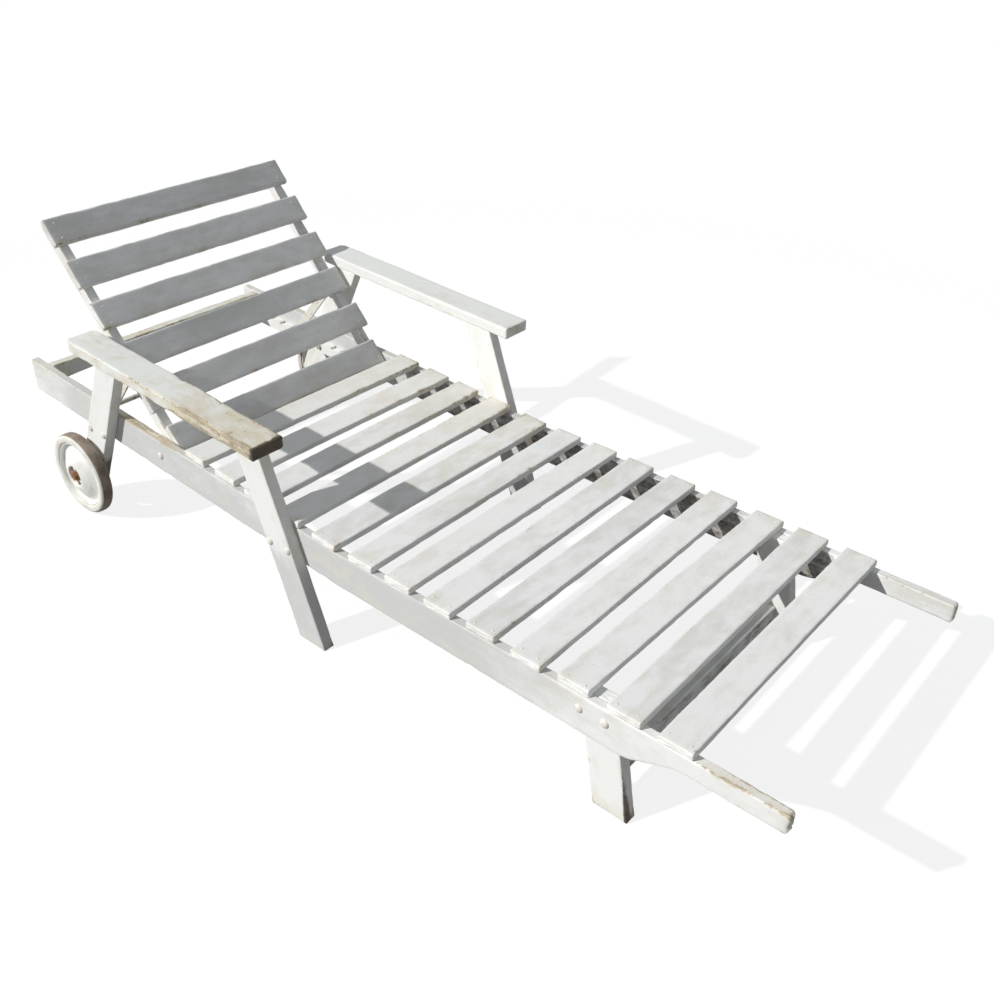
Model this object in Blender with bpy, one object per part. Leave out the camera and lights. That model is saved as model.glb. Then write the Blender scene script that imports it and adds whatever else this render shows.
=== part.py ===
"""Wooden chaise longue with a hinged back, a propping frame and two wheels.

Metres, +Z up. +X runs from the head end (wheels) to the foot end (handles),
-Y is the near side and +Y the far side. The origin is on the ground under the
middle of the frame.
"""
import math

import bmesh
import bpy
from mathutils import Vector

for old_object in list(bpy.data.objects):
    bpy.data.objects.remove(old_object, do_unlink=True)

# Clearances
FIT_GAP = 0.0003
RUNNING_FIT = 0.0001
CUT_OVERRUN = 0.002

# Side rails with handles
RAIL_LENGTH = 1.989
FRAME_WIDTH = 0.644
RAIL_THICKNESS = 0.0185
RAIL_DEPTH = 0.077
RAIL_TOP_HEIGHT = 0.241
CRANK_FROM_HEAD = 1.050
CRANK_ANGLE = math.radians(2.8)
HANDLE_LENGTH = 0.170
HANDLE_SHOULDER = 0.125
HANDLE_DEPTH = 0.037
HANDLE_END_RADIUS = 0.007
PLANK_EASE = 0.0015

# Seat slats
SLAT_WIDTH = 0.0635
SLAT_THICKNESS = 0.014
SLAT_EASE = 0.0025
SEAT_SLAT_PITCH = 0.0982
SEAT_END_FROM_FOOT = 0.1565
SEAT_START_CLEARANCE = 0.080

# Cross members
CROSSBAR_FROM_HEAD = 0.044
CROSSBAR_THICKNESS = 0.025
CROSSBAR_DEPTH = 0.041
CROSSBAR_ARCH = 0.009
STRETCHER_HEIGHT = 0.064
STRETCHER_SETBACK = 0.0137
STRETCHER_DEPTH = 0.048
STRETCHER_THICKNESS = 0.025

# Legs and armrests
LEG_THICKNESS = 0.025
FRONT_LEG_WIDTH = 0.069
FRONT_LEG_TILT = math.radians(20.3)
FRONT_LEG_FROM_HEAD = 0.917
REAR_LEG_WIDTH = 0.066
REAR_LEG_TILT = math.radians(25.6)
FOOT_LEG_WIDTH = 0.0695
FOOT_LEG_TILT = math.radians(11.3)
FOOT_LEG_FROM_FOOT = 0.342
ARMREST_ABOVE_RAIL = 0.2015
ARMREST_TILT = math.radians(2.4)
ARMREST_THICKNESS = 0.0252
ARMREST_WIDTH = 0.071
ARMREST_LENGTH = 0.604
ARMREST_FROM_HEAD = 0.323
ARMREST_OVERLAP = 0.0032
ARMREST_CORNER_RADIUS = 0.014

# Folding back
BACK_ANGLE = math.radians(48.1)
HINGE_FROM_HEAD = 0.5028
HINGE_BELOW_RAIL_TOP = 0.0385
BACK_LENGTH = 0.5437
BACK_SLAT_PITCH = 0.100
BACK_SLAT_OVERHANG = 0.0112
STILE_DEPTH = 0.027
STILE_THICKNESS = 0.022
BACK_SIDE_GAP = 0.002

# Steel prop under the back, and the notched racks that it stands on
PROP_LENGTH = 0.204
PROP_ARM_DEPTH = 0.022
PROP_ARM_THICKNESS = 0.005
PROP_ARM_EASE = 0.0006
PROP_SPACER = 0.005
PROP_BAR_RADIUS = 0.006
PROP_BAR_SIDE_GAP = 0.003
RACK_FROM_HINGE = 0.100
RACK_LENGTH = 0.310
RACK_THICKNESS = 0.016
RACK_DEPTH = 0.028
NOTCH_PITCH = 0.040
NOTCH_DEPTH = 0.005
NOTCH_FLOOR = 0.008
NOTCH_RAMP = 0.014

# Wheels and stub axles
WHEEL_RADIUS = 0.098
TYRE_WIDTH = 0.030
TYRE_HEIGHT = 0.020
TYRE_SHOULDER = 0.004
AXLE_FROM_HEAD = 0.2385
AXLE_RADIUS = 0.006
AXLE_HEAD_RADIUS = 0.0105
AXLE_HEAD_THICKNESS = 0.007
AXLE_TIP = 0.001
LEG_TO_TYRE_GAP = 0.008
HUB_RADIUS = 0.011
HUB_PROUD = 0.0035
DISC_THICKNESS = 0.002
DISC_SET_BACK = 0.0135
DISC_DOME = 0.0215
DISC_SHOULDER_RISE = 0.014
RIM_WALL = 0.0024
RIM_SET_BACK = 0.003
DISH_RADIUS = 0.027
DISH_DEPTH = 0.005

# Fasteners
BOLT_RADIUS = 0.004
BOLT_HEAD_RADIUS = 0.008
BOLT_HEAD_HEIGHT = 0.004
BOLT_CROWN = 0.62
BOLT_CROWN_HEIGHT = 0.78
BOLT_RIM_HEIGHT = 0.25
NUT_FLATS = 0.013
NUT_THICKNESS = 0.0065
NUT_CLEARANCE = 0.0002
BOLT_TIP = 0.002
COLLAR_RADIUS = 0.012
HINGE_RADIUS = 0.005
HINGE_NUT_FLATS = 0.016
AXLE_NUT_FLATS = 0.018
AXLE_COLLAR_THICKNESS = 0.003
AXLE_NUT_COLLAR = 0.002
LEG_BOLT_SPACING = 0.051
FRONT_BOLT_DROP = 0.043
REAR_BOLT_DROP = 0.059
FOOT_BOLT_DROP = 0.028
COUNTERBORE_RADIUS = 0.010
COUNTERBORE_DEPTH = 0.005
JOIN_OVERLAP = 0.0005

# Facets of the round pieces, and the angle past which an edge counts as sharp
BOLT_SIDES = 12
PIVOT_SIDES = 24
TYRE_SIDES = 48
DISC_SIDES = 36
CORNER_STEPS = 4
ROUND_END_STEPS = 10
SHOULDER_STEPS = 8
CROSSBAR_STEPS = 10
SETTLING_PASSES = 8
SHARP_ANGLE = math.radians(33)

# Places that follow from the sizes above
HEAD_X = -RAIL_LENGTH / 2
FOOT_X = RAIL_LENGTH / 2
CRANK_X = HEAD_X + CRANK_FROM_HEAD
HALF_WIDTH = FRAME_WIDTH / 2
RAIL_INNER = HALF_WIDTH - RAIL_THICKNESS
RAIL_BOTTOM = RAIL_TOP_HEIGHT - RAIL_DEPTH
RAIL_MIDDLE = RAIL_TOP_HEIGHT - RAIL_DEPTH / 2
LEG_INNER = HALF_WIDTH + FIT_GAP
LEG_OUTER = LEG_INNER + LEG_THICKNESS
ARMREST_FRONT_X = HEAD_X + ARMREST_FROM_HEAD + ARMREST_LENGTH
ARMREST_TOP_HEIGHT = RAIL_TOP_HEIGHT + ARMREST_ABOVE_RAIL
FOOT_LEG_OUTER = RAIL_INNER - FIT_GAP
FOOT_LEG_INNER = FOOT_LEG_OUTER - LEG_THICKNESS
STILE_OUTER = RAIL_INNER - BACK_SIDE_GAP
STILE_INNER = STILE_OUTER - STILE_THICKNESS
PROP_ARM_OUTER = STILE_INNER - PROP_SPACER
PROP_ARM_INNER = PROP_ARM_OUTER - PROP_ARM_THICKNESS
RACK_OUTER = RAIL_INNER - FIT_GAP
RACK_INNER = RACK_OUTER - RACK_THICKNESS
HINGE_X = HEAD_X + HINGE_FROM_HEAD
STILE_TOP = HINGE_BELOW_RAIL_TOP
STILE_MIDDLE = STILE_TOP - STILE_DEPTH / 2
PROP_PIVOT_RISE = math.asin(STILE_MIDDLE / PROP_LENGTH)
PROP_PIVOT = Vector((-PROP_LENGTH * math.cos(PROP_PIVOT_RISE), 0, STILE_MIDDLE))
BACK_LEAN = BACK_ANGLE - CRANK_ANGLE
PROP_LEAN = BACK_LEAN + PROP_PIVOT_RISE
AXLE_X = HEAD_X + AXLE_FROM_HEAD
AXLE_HEIGHT = WHEEL_RADIUS
BACK_SLAT_BOTTOM = STILE_TOP + FIT_GAP
TYRE_INNER_FACE = LEG_OUTER + LEG_TO_TYRE_GAP
TYRE_OUTER_FACE = TYRE_INNER_FACE + TYRE_WIDTH
TYRE_BORE = WHEEL_RADIUS - TYRE_HEIGHT
HUB_OUTER_END = TYRE_OUTER_FACE + HUB_PROUD
HUB_INNER_END = LEG_OUTER + AXLE_COLLAR_THICKNESS + 2 * FIT_GAP
RACK_TOP = -PROP_BAR_RADIUS - FIT_GAP


def rail_top(x):
    """Height of a rail's top: level at the foot end, sloping up from the crank to the head end."""
    return RAIL_TOP_HEIGHT + max(0, CRANK_X - x) * math.tan(CRANK_ANGLE)


HINGE = Vector((HINGE_X, 0, rail_top(HINGE_X) - HINGE_BELOW_RAIL_TOP))

# Side of the lounger: its name and the sign of its Y
SIDES = (("near", -1), ("far", 1))

# Finish of each kind of piece: colour, roughness and metallic value
FINISHES = {
    "white_paint": ((0.78, 0.79, 0.77), 0.60, 0.0),
    "worn_paint": ((0.72, 0.68, 0.56), 0.70, 0.0),
    "rusty_steel": ((0.30, 0.20, 0.14), 0.65, 0.8),
    "wheel_enamel": ((0.82, 0.82, 0.79), 0.40, 0.2),
    "rubber": ((0.33, 0.28, 0.24), 0.80, 0.0),
}


def own_material(name, finish):
    """A material for one piece, from its kind of finish."""
    colour, roughness, metallic = FINISHES[finish]
    material = bpy.data.materials.new(name + "_finish")
    material.use_nodes = True
    shader = material.node_tree.nodes["Principled BSDF"]
    shader.inputs["Base Color"].default_value = (*colour, 1.0)
    shader.inputs["Roughness"].default_value = roughness
    shader.inputs["Metallic"].default_value = metallic
    material.diffuse_color = (*colour, 1.0)
    return material


def mesh_from(bm, name):
    """Turns a finished bmesh into a mesh with its faces pointing out."""
    bmesh.ops.recalc_face_normals(bm, faces=bm.faces)
    mesh = bpy.data.meshes.new(name)
    bm.to_mesh(mesh)
    bm.free()
    mesh.shade_smooth()
    mesh.set_sharp_from_angle(angle=SHARP_ANGLE)
    return mesh


def add_piece(name, bm, finish, parent=None, location=(0, 0, 0), rotation=(0, 0, 0)):
    """Adds one named piece of the lounger."""
    piece = bpy.data.objects.new(name, mesh_from(bm, name))
    piece.data.materials.append(own_material(name, finish))
    piece.parent = parent
    piece.location = location
    piece.rotation_euler = rotation
    bpy.context.collection.objects.link(piece)
    return piece


def add_cutter(name, bm, parent=None):
    """Adds a hidden shape that a Boolean cuts from a piece, or joins to it."""
    cutter = bpy.data.objects.new(name, mesh_from(bm, name))
    cutter.parent = parent
    cutter.hide_render = True
    cutter.display_type = "WIRE"
    bpy.context.collection.objects.link(cutter)
    return cutter


def cut(piece, *cutters):
    """Cuts the holes of the given cutters out of a piece."""
    for cutter in cutters:
        modifier = piece.modifiers.new(cutter.name, "BOOLEAN")
        modifier.operation = "DIFFERENCE"
        modifier.solver = "EXACT"
        modifier.object = cutter


def add_pivot(name, location, rotation=(0, 0, 0), parent=None):
    """Adds an empty on a joint's axis."""
    pivot = bpy.data.objects.new(name, None)
    pivot.location = location
    pivot.rotation_euler = rotation
    pivot.parent = parent
    bpy.context.collection.objects.link(pivot)
    return pivot


def add_prism(bm, outline, low, high, axis):
    """Extrudes a flat outline from low to high along one axis, and returns its new edges."""
    places = {
        "X": lambda u, v, along: (along, u, v),
        "Y": lambda u, v, along: (u, along, v),
        "Z": lambda u, v, along: (u, v, along),
    }
    place = places[axis]
    near_ring = [bm.verts.new(place(u, v, low)) for u, v in outline]
    far_ring = [bm.verts.new(place(u, v, high)) for u, v in outline]
    faces = [bm.faces.new(near_ring), bm.faces.new(far_ring)]
    for here in range(len(outline)):
        after = (here + 1) % len(outline)
        corners = (near_ring[here], near_ring[after], far_ring[after], far_ring[here])
        faces.append(bm.faces.new(corners))
    return {edge for face in faces for edge in face.edges}


def plank(outline, low, high, axis, ease=PLANK_EASE):
    """A board of the given outline with its sharp edges eased."""
    bm = bmesh.new()
    edges = add_prism(bm, outline, low, high, axis)
    bmesh.ops.recalc_face_normals(bm, faces=bm.faces)
    sharp = [edge for edge in edges if edge.calc_face_angle() > SHARP_ANGLE]
    bmesh.ops.bevel(bm, geom=sharp, offset=ease, segments=1, affect="EDGES")
    return bm


def rectangle(low_u, high_u, low_v, high_v):
    """Outline of a rectangle."""
    return [(low_u, low_v), (high_u, low_v), (high_u, high_v), (low_u, high_v)]


def arc(centre_u, centre_v, radius, start, stop, steps):
    """Points along an arc, its angles in degrees."""
    angles = [math.radians(start + (stop - start) * step / steps) for step in range(steps + 1)]
    return [(centre_u + radius * math.cos(a), centre_v + radius * math.sin(a)) for a in angles]


def ring_radius(radius, angle, hexagonal):
    """Distance from the axis at an angle; a hexagon's radius is half its width across flats."""
    if not hexagonal:
        return radius
    from_flat = (angle + math.radians(30)) % math.radians(60) - math.radians(30)
    return radius / math.cos(from_flat)


def add_turned(bm, profile, sides, place=(0, 0, 0), flip=1, ring=False):
    """Turns a profile about an axis along Y.

    Each point of the profile is a radius, a distance along the axis and, on a nut,
    True. A solid profile starts and ends on the axis; a ring profile is a closed loop.
    """
    base = Vector(place)
    angles = [2 * math.pi * side / sides for side in range(sides)]
    rings = []
    for radius, along, *hexagonal in profile:
        points = []
        for angle in angles if radius else angles[:1]:
            reach = ring_radius(radius, angle, hexagonal)
            offset = Vector((reach * math.cos(angle), along * flip, reach * math.sin(angle)))
            points.append(bm.verts.new(base + offset))
        rings.append(points)
    pairs = list(zip(rings, rings[1:]))
    if ring:
        pairs.append((rings[-1], rings[0]))
    for first, second in pairs:
        for side in range(sides):
            after = (side + 1) % sides
            corners = [first[side % len(first)], first[after % len(first)]]
            corners += [second[after % len(second)], second[side % len(second)]]
            bm.faces.new(list(dict.fromkeys(corners)))


def add_rod(bm, radius, start, stop, sides, place=(0, 0, 0), flip=1):
    """A plain round rod along Y."""
    profile = [(0, start), (radius, start), (radius, stop), (0, stop)]
    add_turned(bm, profile, sides, place, flip)


def bolt_head(radius, seat):
    """Profile of a domed head outside its seat, down to the bolt's shank."""
    return [
        (0, seat + BOLT_HEAD_HEIGHT),
        (BOLT_HEAD_RADIUS * BOLT_CROWN, seat + BOLT_HEAD_HEIGHT * BOLT_CROWN_HEIGHT),
        (BOLT_HEAD_RADIUS, seat + BOLT_HEAD_HEIGHT * BOLT_RIM_HEIGHT),
        (BOLT_HEAD_RADIUS, seat),
        (radius, seat),
    ]


def nut(bore_radius, flats, start, stop):
    """Profile of a hexagonal nut, as a ring about its bore."""
    hole = bore_radius + NUT_CLEARANCE
    return [(hole, start), (flats / 2, start, True), (flats / 2, stop, True), (hole, stop)]


# Where things stand along the frame
def armrest_bottom(x):
    """Height of an armrest's underside, which rises towards the head end."""
    drop = ARMREST_THICKNESS / math.cos(ARMREST_TILT)
    return ARMREST_TOP_HEIGHT - drop + (ARMREST_FRONT_X - x) * math.tan(ARMREST_TILT)


def front_leg_x(height):
    """Middle of the front leg at a height: its foot leans towards the foot end."""
    return HEAD_X + FRONT_LEG_FROM_HEAD - math.tan(FRONT_LEG_TILT) * (height - RAIL_MIDDLE)


def rear_leg_x(height):
    """Middle of the rear leg at a height: it rises from the axle towards the foot end."""
    return AXLE_X + math.tan(REAR_LEG_TILT) * (height - AXLE_HEIGHT)


def foot_leg_x(height):
    """Middle of the foot leg at a height."""
    return FOOT_X - FOOT_LEG_FROM_FOOT - math.tan(FOOT_LEG_TILT) * (height - RAIL_MIDDLE)


def under_armrest(middle_x, offset):
    """The corner where a leg's edge, offset from its middle, meets the armrest."""
    height = ARMREST_TOP_HEIGHT
    for _ in range(SETTLING_PASSES):
        height = armrest_bottom(middle_x(height) + offset) - FIT_GAP
    return middle_x(height) + offset, height


def seat_slat_rest(x):
    """Height and slope at which a seat slat lies on the rails, clear of the crank's other side."""
    slope = CRANK_ANGLE if x < CRANK_X else 0
    ends = (x - SLAT_WIDTH / 2, x + SLAT_WIDTH / 2)
    height = max(rail_top(end) + (end - x) * math.tan(slope) for end in ends)
    return height + FIT_GAP, slope


def seat_slat_centres():
    """Middle of each seat slat along X, from the hinge towards the foot end."""
    last = FOOT_X - SEAT_END_FROM_FOOT - SLAT_WIDTH / 2
    first_allowed = HINGE.x + SEAT_START_CLEARANCE + SLAT_WIDTH / 2
    count = int((last - first_allowed) / SEAT_SLAT_PITCH) + 1
    return [last - SEAT_SLAT_PITCH * step for step in reversed(range(count))]


def back_slat_centres():
    """Middle of each back slat, as a distance up the back from the hinge, top slat first."""
    top = BACK_LENGTH - SLAT_WIDTH / 2
    count = int(top / BACK_SLAT_PITCH) + 1
    return [top - BACK_SLAT_PITCH * step for step in range(count)]


def bolt_places(middle_x, drop):
    """The two bolts of a leg, side by side at one height below the rail's top."""
    height = rail_top(middle_x(RAIL_MIDDLE)) - drop
    offsets = (-LEG_BOLT_SPACING / 2, LEG_BOLT_SPACING / 2)
    return [(middle_x(height) + offset, 0, height) for offset in offsets]


def build_frame_cutters():
    """Holes in the rails, racks and rear legs for the bolts and the axles."""
    leg_bolts = bmesh.new()
    hinge_bolts = bmesh.new()
    axles = bmesh.new()
    places = bolt_places(front_leg_x, FRONT_BOLT_DROP) + bolt_places(rear_leg_x, REAR_BOLT_DROP)
    places += bolt_places(foot_leg_x, FOOT_BOLT_DROP)
    for _, sign in SIDES:
        for place in places:
            add_rod(leg_bolts, BOLT_RADIUS + FIT_GAP, HALF_WIDTH + CUT_OVERRUN, RACK_INNER - CUT_OVERRUN,
                    BOLT_SIDES, place, sign)
        add_rod(hinge_bolts, HINGE_RADIUS + FIT_GAP, HALF_WIDTH + CUT_OVERRUN, RAIL_INNER - CUT_OVERRUN,
                PIVOT_SIDES, HINGE, sign)
        add_rod(axles, AXLE_RADIUS + FIT_GAP, LEG_INNER - CUT_OVERRUN, LEG_OUTER + CUT_OVERRUN,
                PIVOT_SIDES, (AXLE_X, 0, AXLE_HEIGHT), sign)
    return {
        "leg_bolts": add_cutter("leg_bolt_holes", leg_bolts),
        "hinge_bolts": add_cutter("hinge_bolt_holes", hinge_bolts),
        "axles": add_cutter("axle_holes", axles),
    }


def join_bolts(leg, places, head_seat, nut_seat, sign):
    """Joins a leg's two bolts, each with its nut, to the leg that they fasten."""
    shape = bmesh.new()
    nut_end = nut_seat - NUT_THICKNESS
    profile = bolt_head(BOLT_RADIUS, head_seat) + [
        (BOLT_RADIUS, nut_seat),
        (NUT_FLATS / 2, nut_seat, True),
        (NUT_FLATS / 2, nut_end, True),
        (BOLT_RADIUS, nut_end),
        (BOLT_RADIUS, nut_end - BOLT_TIP),
        (0, nut_end - BOLT_TIP),
    ]
    for place in places:
        add_turned(shape, profile, BOLT_SIDES, place, sign)
    modifier = leg.modifiers.new("bolts", "BOOLEAN")
    modifier.operation = "UNION"
    modifier.solver = "EXACT"
    modifier.object = add_cutter(leg.name + "_bolts", shape)


def rail_outline():
    """Side view of a rail: cranked in the middle, with a lower edge that sweeps up to the handle."""
    handle_bottom = RAIL_TOP_HEIGHT - HANDLE_DEPTH
    handle_start = FOOT_X - HANDLE_LENGTH
    shoulder_start = handle_start - HANDLE_SHOULDER
    rise = handle_bottom - RAIL_BOTTOM
    sweep = []
    for step in range(SHOULDER_STEPS + 1):
        share = step / SHOULDER_STEPS
        lift = rise * (1 - math.cos(math.pi * share)) / 2
        sweep.append((shoulder_start + HANDLE_SHOULDER * share, RAIL_BOTTOM + lift))
    end_x = FOOT_X - HANDLE_END_RADIUS
    lower_corner = arc(end_x, handle_bottom + HANDLE_END_RADIUS, HANDLE_END_RADIUS, -90, 0, CORNER_STEPS)
    upper_corner = arc(end_x, RAIL_TOP_HEIGHT - HANDLE_END_RADIUS, HANDLE_END_RADIUS, 0, 90, CORNER_STEPS)
    head_top = rail_top(HEAD_X)
    head_part = [(CRANK_X, RAIL_TOP_HEIGHT), (HEAD_X, head_top)]
    head_part += [(HEAD_X, head_top - RAIL_DEPTH), (CRANK_X, RAIL_BOTTOM)]
    return head_part + sweep + lower_corner + upper_corner


def front_leg_outline():
    """Side view of a front leg, from the ground to the armrest."""
    half = FRONT_LEG_WIDTH / 2 / math.cos(FRONT_LEG_TILT)
    foot = [(front_leg_x(0) - half, 0), (front_leg_x(0) + half, 0)]
    return foot + [under_armrest(front_leg_x, half), under_armrest(front_leg_x, -half)]


def foot_leg_outline():
    """Side view of a foot leg, from the ground to the seat."""
    half = FOOT_LEG_WIDTH / 2 / math.cos(FOOT_LEG_TILT)
    foot = [(foot_leg_x(0) - half, 0), (foot_leg_x(0) + half, 0)]
    top_x = foot_leg_x(RAIL_TOP_HEIGHT)
    return foot + [(top_x + half, RAIL_TOP_HEIGHT), (top_x - half, RAIL_TOP_HEIGHT)]


def rear_leg_outline():
    """Side view of a rear leg: cut to the armrest, rounded about the axle."""
    half = REAR_LEG_WIDTH / 2
    lean = math.degrees(REAR_LEG_TILT)
    around_axle = arc(AXLE_X, AXLE_HEIGHT, half, -180 - lean, -lean, ROUND_END_STEPS)
    level_half = half / math.cos(REAR_LEG_TILT)
    return around_axle + [under_armrest(rear_leg_x, level_half), under_armrest(rear_leg_x, -level_half)]


def armrest_outline(sign):
    """Plan of an armrest from its front end at zero: square there, rounded at the rear corners."""
    inner = HALF_WIDTH - ARMREST_OVERLAP
    outer = inner + ARMREST_WIDTH
    radius = ARMREST_CORNER_RADIUS
    rear = radius - ARMREST_LENGTH / math.cos(ARMREST_TILT)
    inner_corner = arc(rear, inner + radius, radius, 180, 270, CORNER_STEPS)
    outer_corner = arc(rear, outer - radius, radius, 90, 180, CORNER_STEPS)
    plan = inner_corner + [(0, inner), (0, outer)] + outer_corner
    return [(x, sign * y) for x, y in plan]


def rack_outline():
    """Side view of a rack from the hinge: notches with an upright face towards the head end."""
    stop = -RACK_FROM_HINGE
    start = stop - RACK_LENGTH
    bar_x = -2 * PROP_LENGTH * math.cos(PROP_LEAN)
    notch_run = NOTCH_FLOOR + NOTCH_RAMP
    wall = bar_x - NOTCH_FLOOR / 2
    wall -= NOTCH_PITCH * int((wall - start - NOTCH_PITCH / 2) / NOTCH_PITCH)
    top = [(start, RACK_TOP)]
    while wall + notch_run < stop:
        floor_z = RACK_TOP - NOTCH_DEPTH
        top += [(wall, RACK_TOP), (wall, floor_z), (wall + NOTCH_FLOOR, floor_z)]
        top.append((wall + notch_run, RACK_TOP))
        wall += NOTCH_PITCH
    top.append((stop, RACK_TOP))
    bottom = [(stop, RACK_TOP - RACK_DEPTH), (start, RACK_TOP - RACK_DEPTH)]
    return top + bottom


def crossbar_outline():
    """Head crossbar seen along X: its lower edge arches up in the middle."""
    half = RAIL_INNER - FIT_GAP
    top = rail_top(HEAD_X + CROSSBAR_FROM_HEAD + CROSSBAR_THICKNESS)
    lower = []
    for step in range(CROSSBAR_STEPS + 1):
        y = half * (2 * step / CROSSBAR_STEPS - 1)
        z = top - CROSSBAR_DEPTH + CROSSBAR_ARCH * (1 - (y / half) ** 2)
        lower.append((y, z))
    return lower + [(half, top), (-half, top)]


def build_frame(holes):
    """The fixed frame: rails, racks, legs, armrests, cross members and seat slats."""
    front_bolts = bolt_places(front_leg_x, FRONT_BOLT_DROP)
    rear_bolts = bolt_places(rear_leg_x, REAR_BOLT_DROP)
    foot_bolts = bolt_places(foot_leg_x, FOOT_BOLT_DROP)
    head_seat = LEG_OUTER - JOIN_OVERLAP
    for side, sign in SIDES:
        rail = plank(rail_outline(), sign * RAIL_INNER, sign * HALF_WIDTH, "Y")
        cut(add_piece("side_rail_" + side, rail, "white_paint"), holes["leg_bolts"], holes["hinge_bolts"])
        rack = bmesh.new()
        add_prism(rack, rack_outline(), sign * RACK_INNER, sign * RACK_OUTER, "Y")
        piece = add_piece("prop_rack_" + side, rack, "white_paint", None, HINGE, (0, CRANK_ANGLE, 0))
        cut(piece, holes["leg_bolts"])
        front_leg = plank(front_leg_outline(), sign * LEG_INNER, sign * LEG_OUTER, "Y")
        piece = add_piece("front_leg_" + side, front_leg, "white_paint")
        join_bolts(piece, front_bolts, head_seat, RAIL_INNER - FIT_GAP, sign)
        rear_leg = plank(rear_leg_outline(), sign * LEG_INNER, sign * LEG_OUTER, "Y")
        piece = add_piece("rear_leg_" + side, rear_leg, "white_paint")
        join_bolts(piece, rear_bolts, head_seat, RACK_INNER - FIT_GAP, sign)
        cut(piece, holes["axles"])
        foot_leg = plank(foot_leg_outline(), sign * FOOT_LEG_INNER, sign * FOOT_LEG_OUTER, "Y")
        piece = add_piece("foot_leg_" + side, foot_leg, "white_paint")
        join_bolts(piece, foot_bolts, HALF_WIDTH + FIT_GAP, FOOT_LEG_INNER + JOIN_OVERLAP, sign)
        armrest = plank(armrest_outline(sign), -ARMREST_THICKNESS, 0, "Z", SLAT_EASE)
        place = (ARMREST_FRONT_X, 0, ARMREST_TOP_HEIGHT)
        add_piece("armrest_" + side, armrest, "worn_paint", None, place, (0, ARMREST_TILT, 0))
    crossbar_x = HEAD_X + CROSSBAR_FROM_HEAD
    crossbar = plank(crossbar_outline(), crossbar_x, crossbar_x + CROSSBAR_THICKNESS, "X")
    add_piece("head_crossbar", crossbar, "worn_paint")
    stretcher_x = foot_leg_x(STRETCHER_HEIGHT) - STRETCHER_SETBACK
    stretcher_half = FOOT_LEG_INNER - FIT_GAP
    outline = rectangle(stretcher_x - STRETCHER_THICKNESS / 2, stretcher_x + STRETCHER_THICKNESS / 2,
                        STRETCHER_HEIGHT - STRETCHER_DEPTH / 2, STRETCHER_HEIGHT + STRETCHER_DEPTH / 2)
    add_piece("foot_stretcher", plank(outline, -stretcher_half, stretcher_half, "Y"), "white_paint")
    outline = rectangle(-SLAT_WIDTH / 2, SLAT_WIDTH / 2, 0, SLAT_THICKNESS)
    for number, x in enumerate(seat_slat_centres(), start=1):
        slat = plank(outline, -HALF_WIDTH, HALF_WIDTH, "Y", SLAT_EASE)
        height, slope = seat_slat_rest(x)
        add_piece("seat_slat_%02d" % number, slat, "white_paint", None, (x, 0, height), (0, slope, 0))


def build_pivots():
    """Hinge bolts with their nuts, and stub axles with the nuts that keep the wheels on."""
    for side, sign in SIDES:
        nut_start = STILE_INNER - FIT_GAP
        nut_end = nut_start - NUT_THICKNESS
        profile = bolt_head(HINGE_RADIUS, HALF_WIDTH + FIT_GAP) + [
            (HINGE_RADIUS, RAIL_INNER - FIT_GAP),
            (COLLAR_RADIUS, RAIL_INNER - FIT_GAP),
            (COLLAR_RADIUS, STILE_OUTER + FIT_GAP),
            (HINGE_RADIUS, STILE_OUTER + FIT_GAP),
            (HINGE_RADIUS, nut_end - BOLT_TIP),
            (0, nut_end - BOLT_TIP),
        ]
        bolt = bmesh.new()
        add_turned(bolt, profile, PIVOT_SIDES, flip=sign)
        add_piece("hinge_bolt_" + side, bolt, "rusty_steel", location=HINGE)
        hinge_nut = bmesh.new()
        ring = nut(HINGE_RADIUS, HINGE_NUT_FLATS, nut_start, nut_end)
        add_turned(hinge_nut, ring, PIVOT_SIDES, flip=sign, ring=True)
        add_piece("hinge_nut_" + side, hinge_nut, "rusty_steel", location=HINGE)
        axle_place = (AXLE_X, 0, AXLE_HEIGHT)
        head_seat = LEG_INNER - FIT_GAP
        collar_start = LEG_OUTER + FIT_GAP
        nut_start = HUB_OUTER_END + FIT_GAP
        nut_end = nut_start + NUT_THICKNESS
        profile = [
            (0, head_seat - AXLE_HEAD_THICKNESS),
            (AXLE_HEAD_RADIUS, head_seat - AXLE_HEAD_THICKNESS),
            (AXLE_HEAD_RADIUS, head_seat),
            (AXLE_RADIUS, head_seat),
            (AXLE_RADIUS, collar_start),
            (COLLAR_RADIUS, collar_start),
            (COLLAR_RADIUS, collar_start + AXLE_COLLAR_THICKNESS),
            (AXLE_RADIUS, collar_start + AXLE_COLLAR_THICKNESS),
            (AXLE_RADIUS, nut_end + AXLE_TIP),
            (0, nut_end + AXLE_TIP),
        ]
        axle = bmesh.new()
        add_turned(axle, profile, PIVOT_SIDES, flip=sign)
        add_piece("wheel_axle_" + side, axle, "rusty_steel", location=axle_place)
        collar_end = nut_start + AXLE_NUT_COLLAR
        hole = AXLE_RADIUS + NUT_CLEARANCE
        ring = [
            (hole, nut_start),
            (COLLAR_RADIUS, nut_start),
            (COLLAR_RADIUS, collar_end),
            (AXLE_NUT_FLATS / 2, collar_end, True),
            (AXLE_NUT_FLATS / 2, nut_end, True),
            (hole, nut_end),
        ]
        axle_nut = bmesh.new()
        add_turned(axle_nut, ring, PIVOT_SIDES, flip=sign, ring=True)
        add_piece("axle_nut_" + side, axle_nut, "rusty_steel", location=axle_place)


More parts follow.
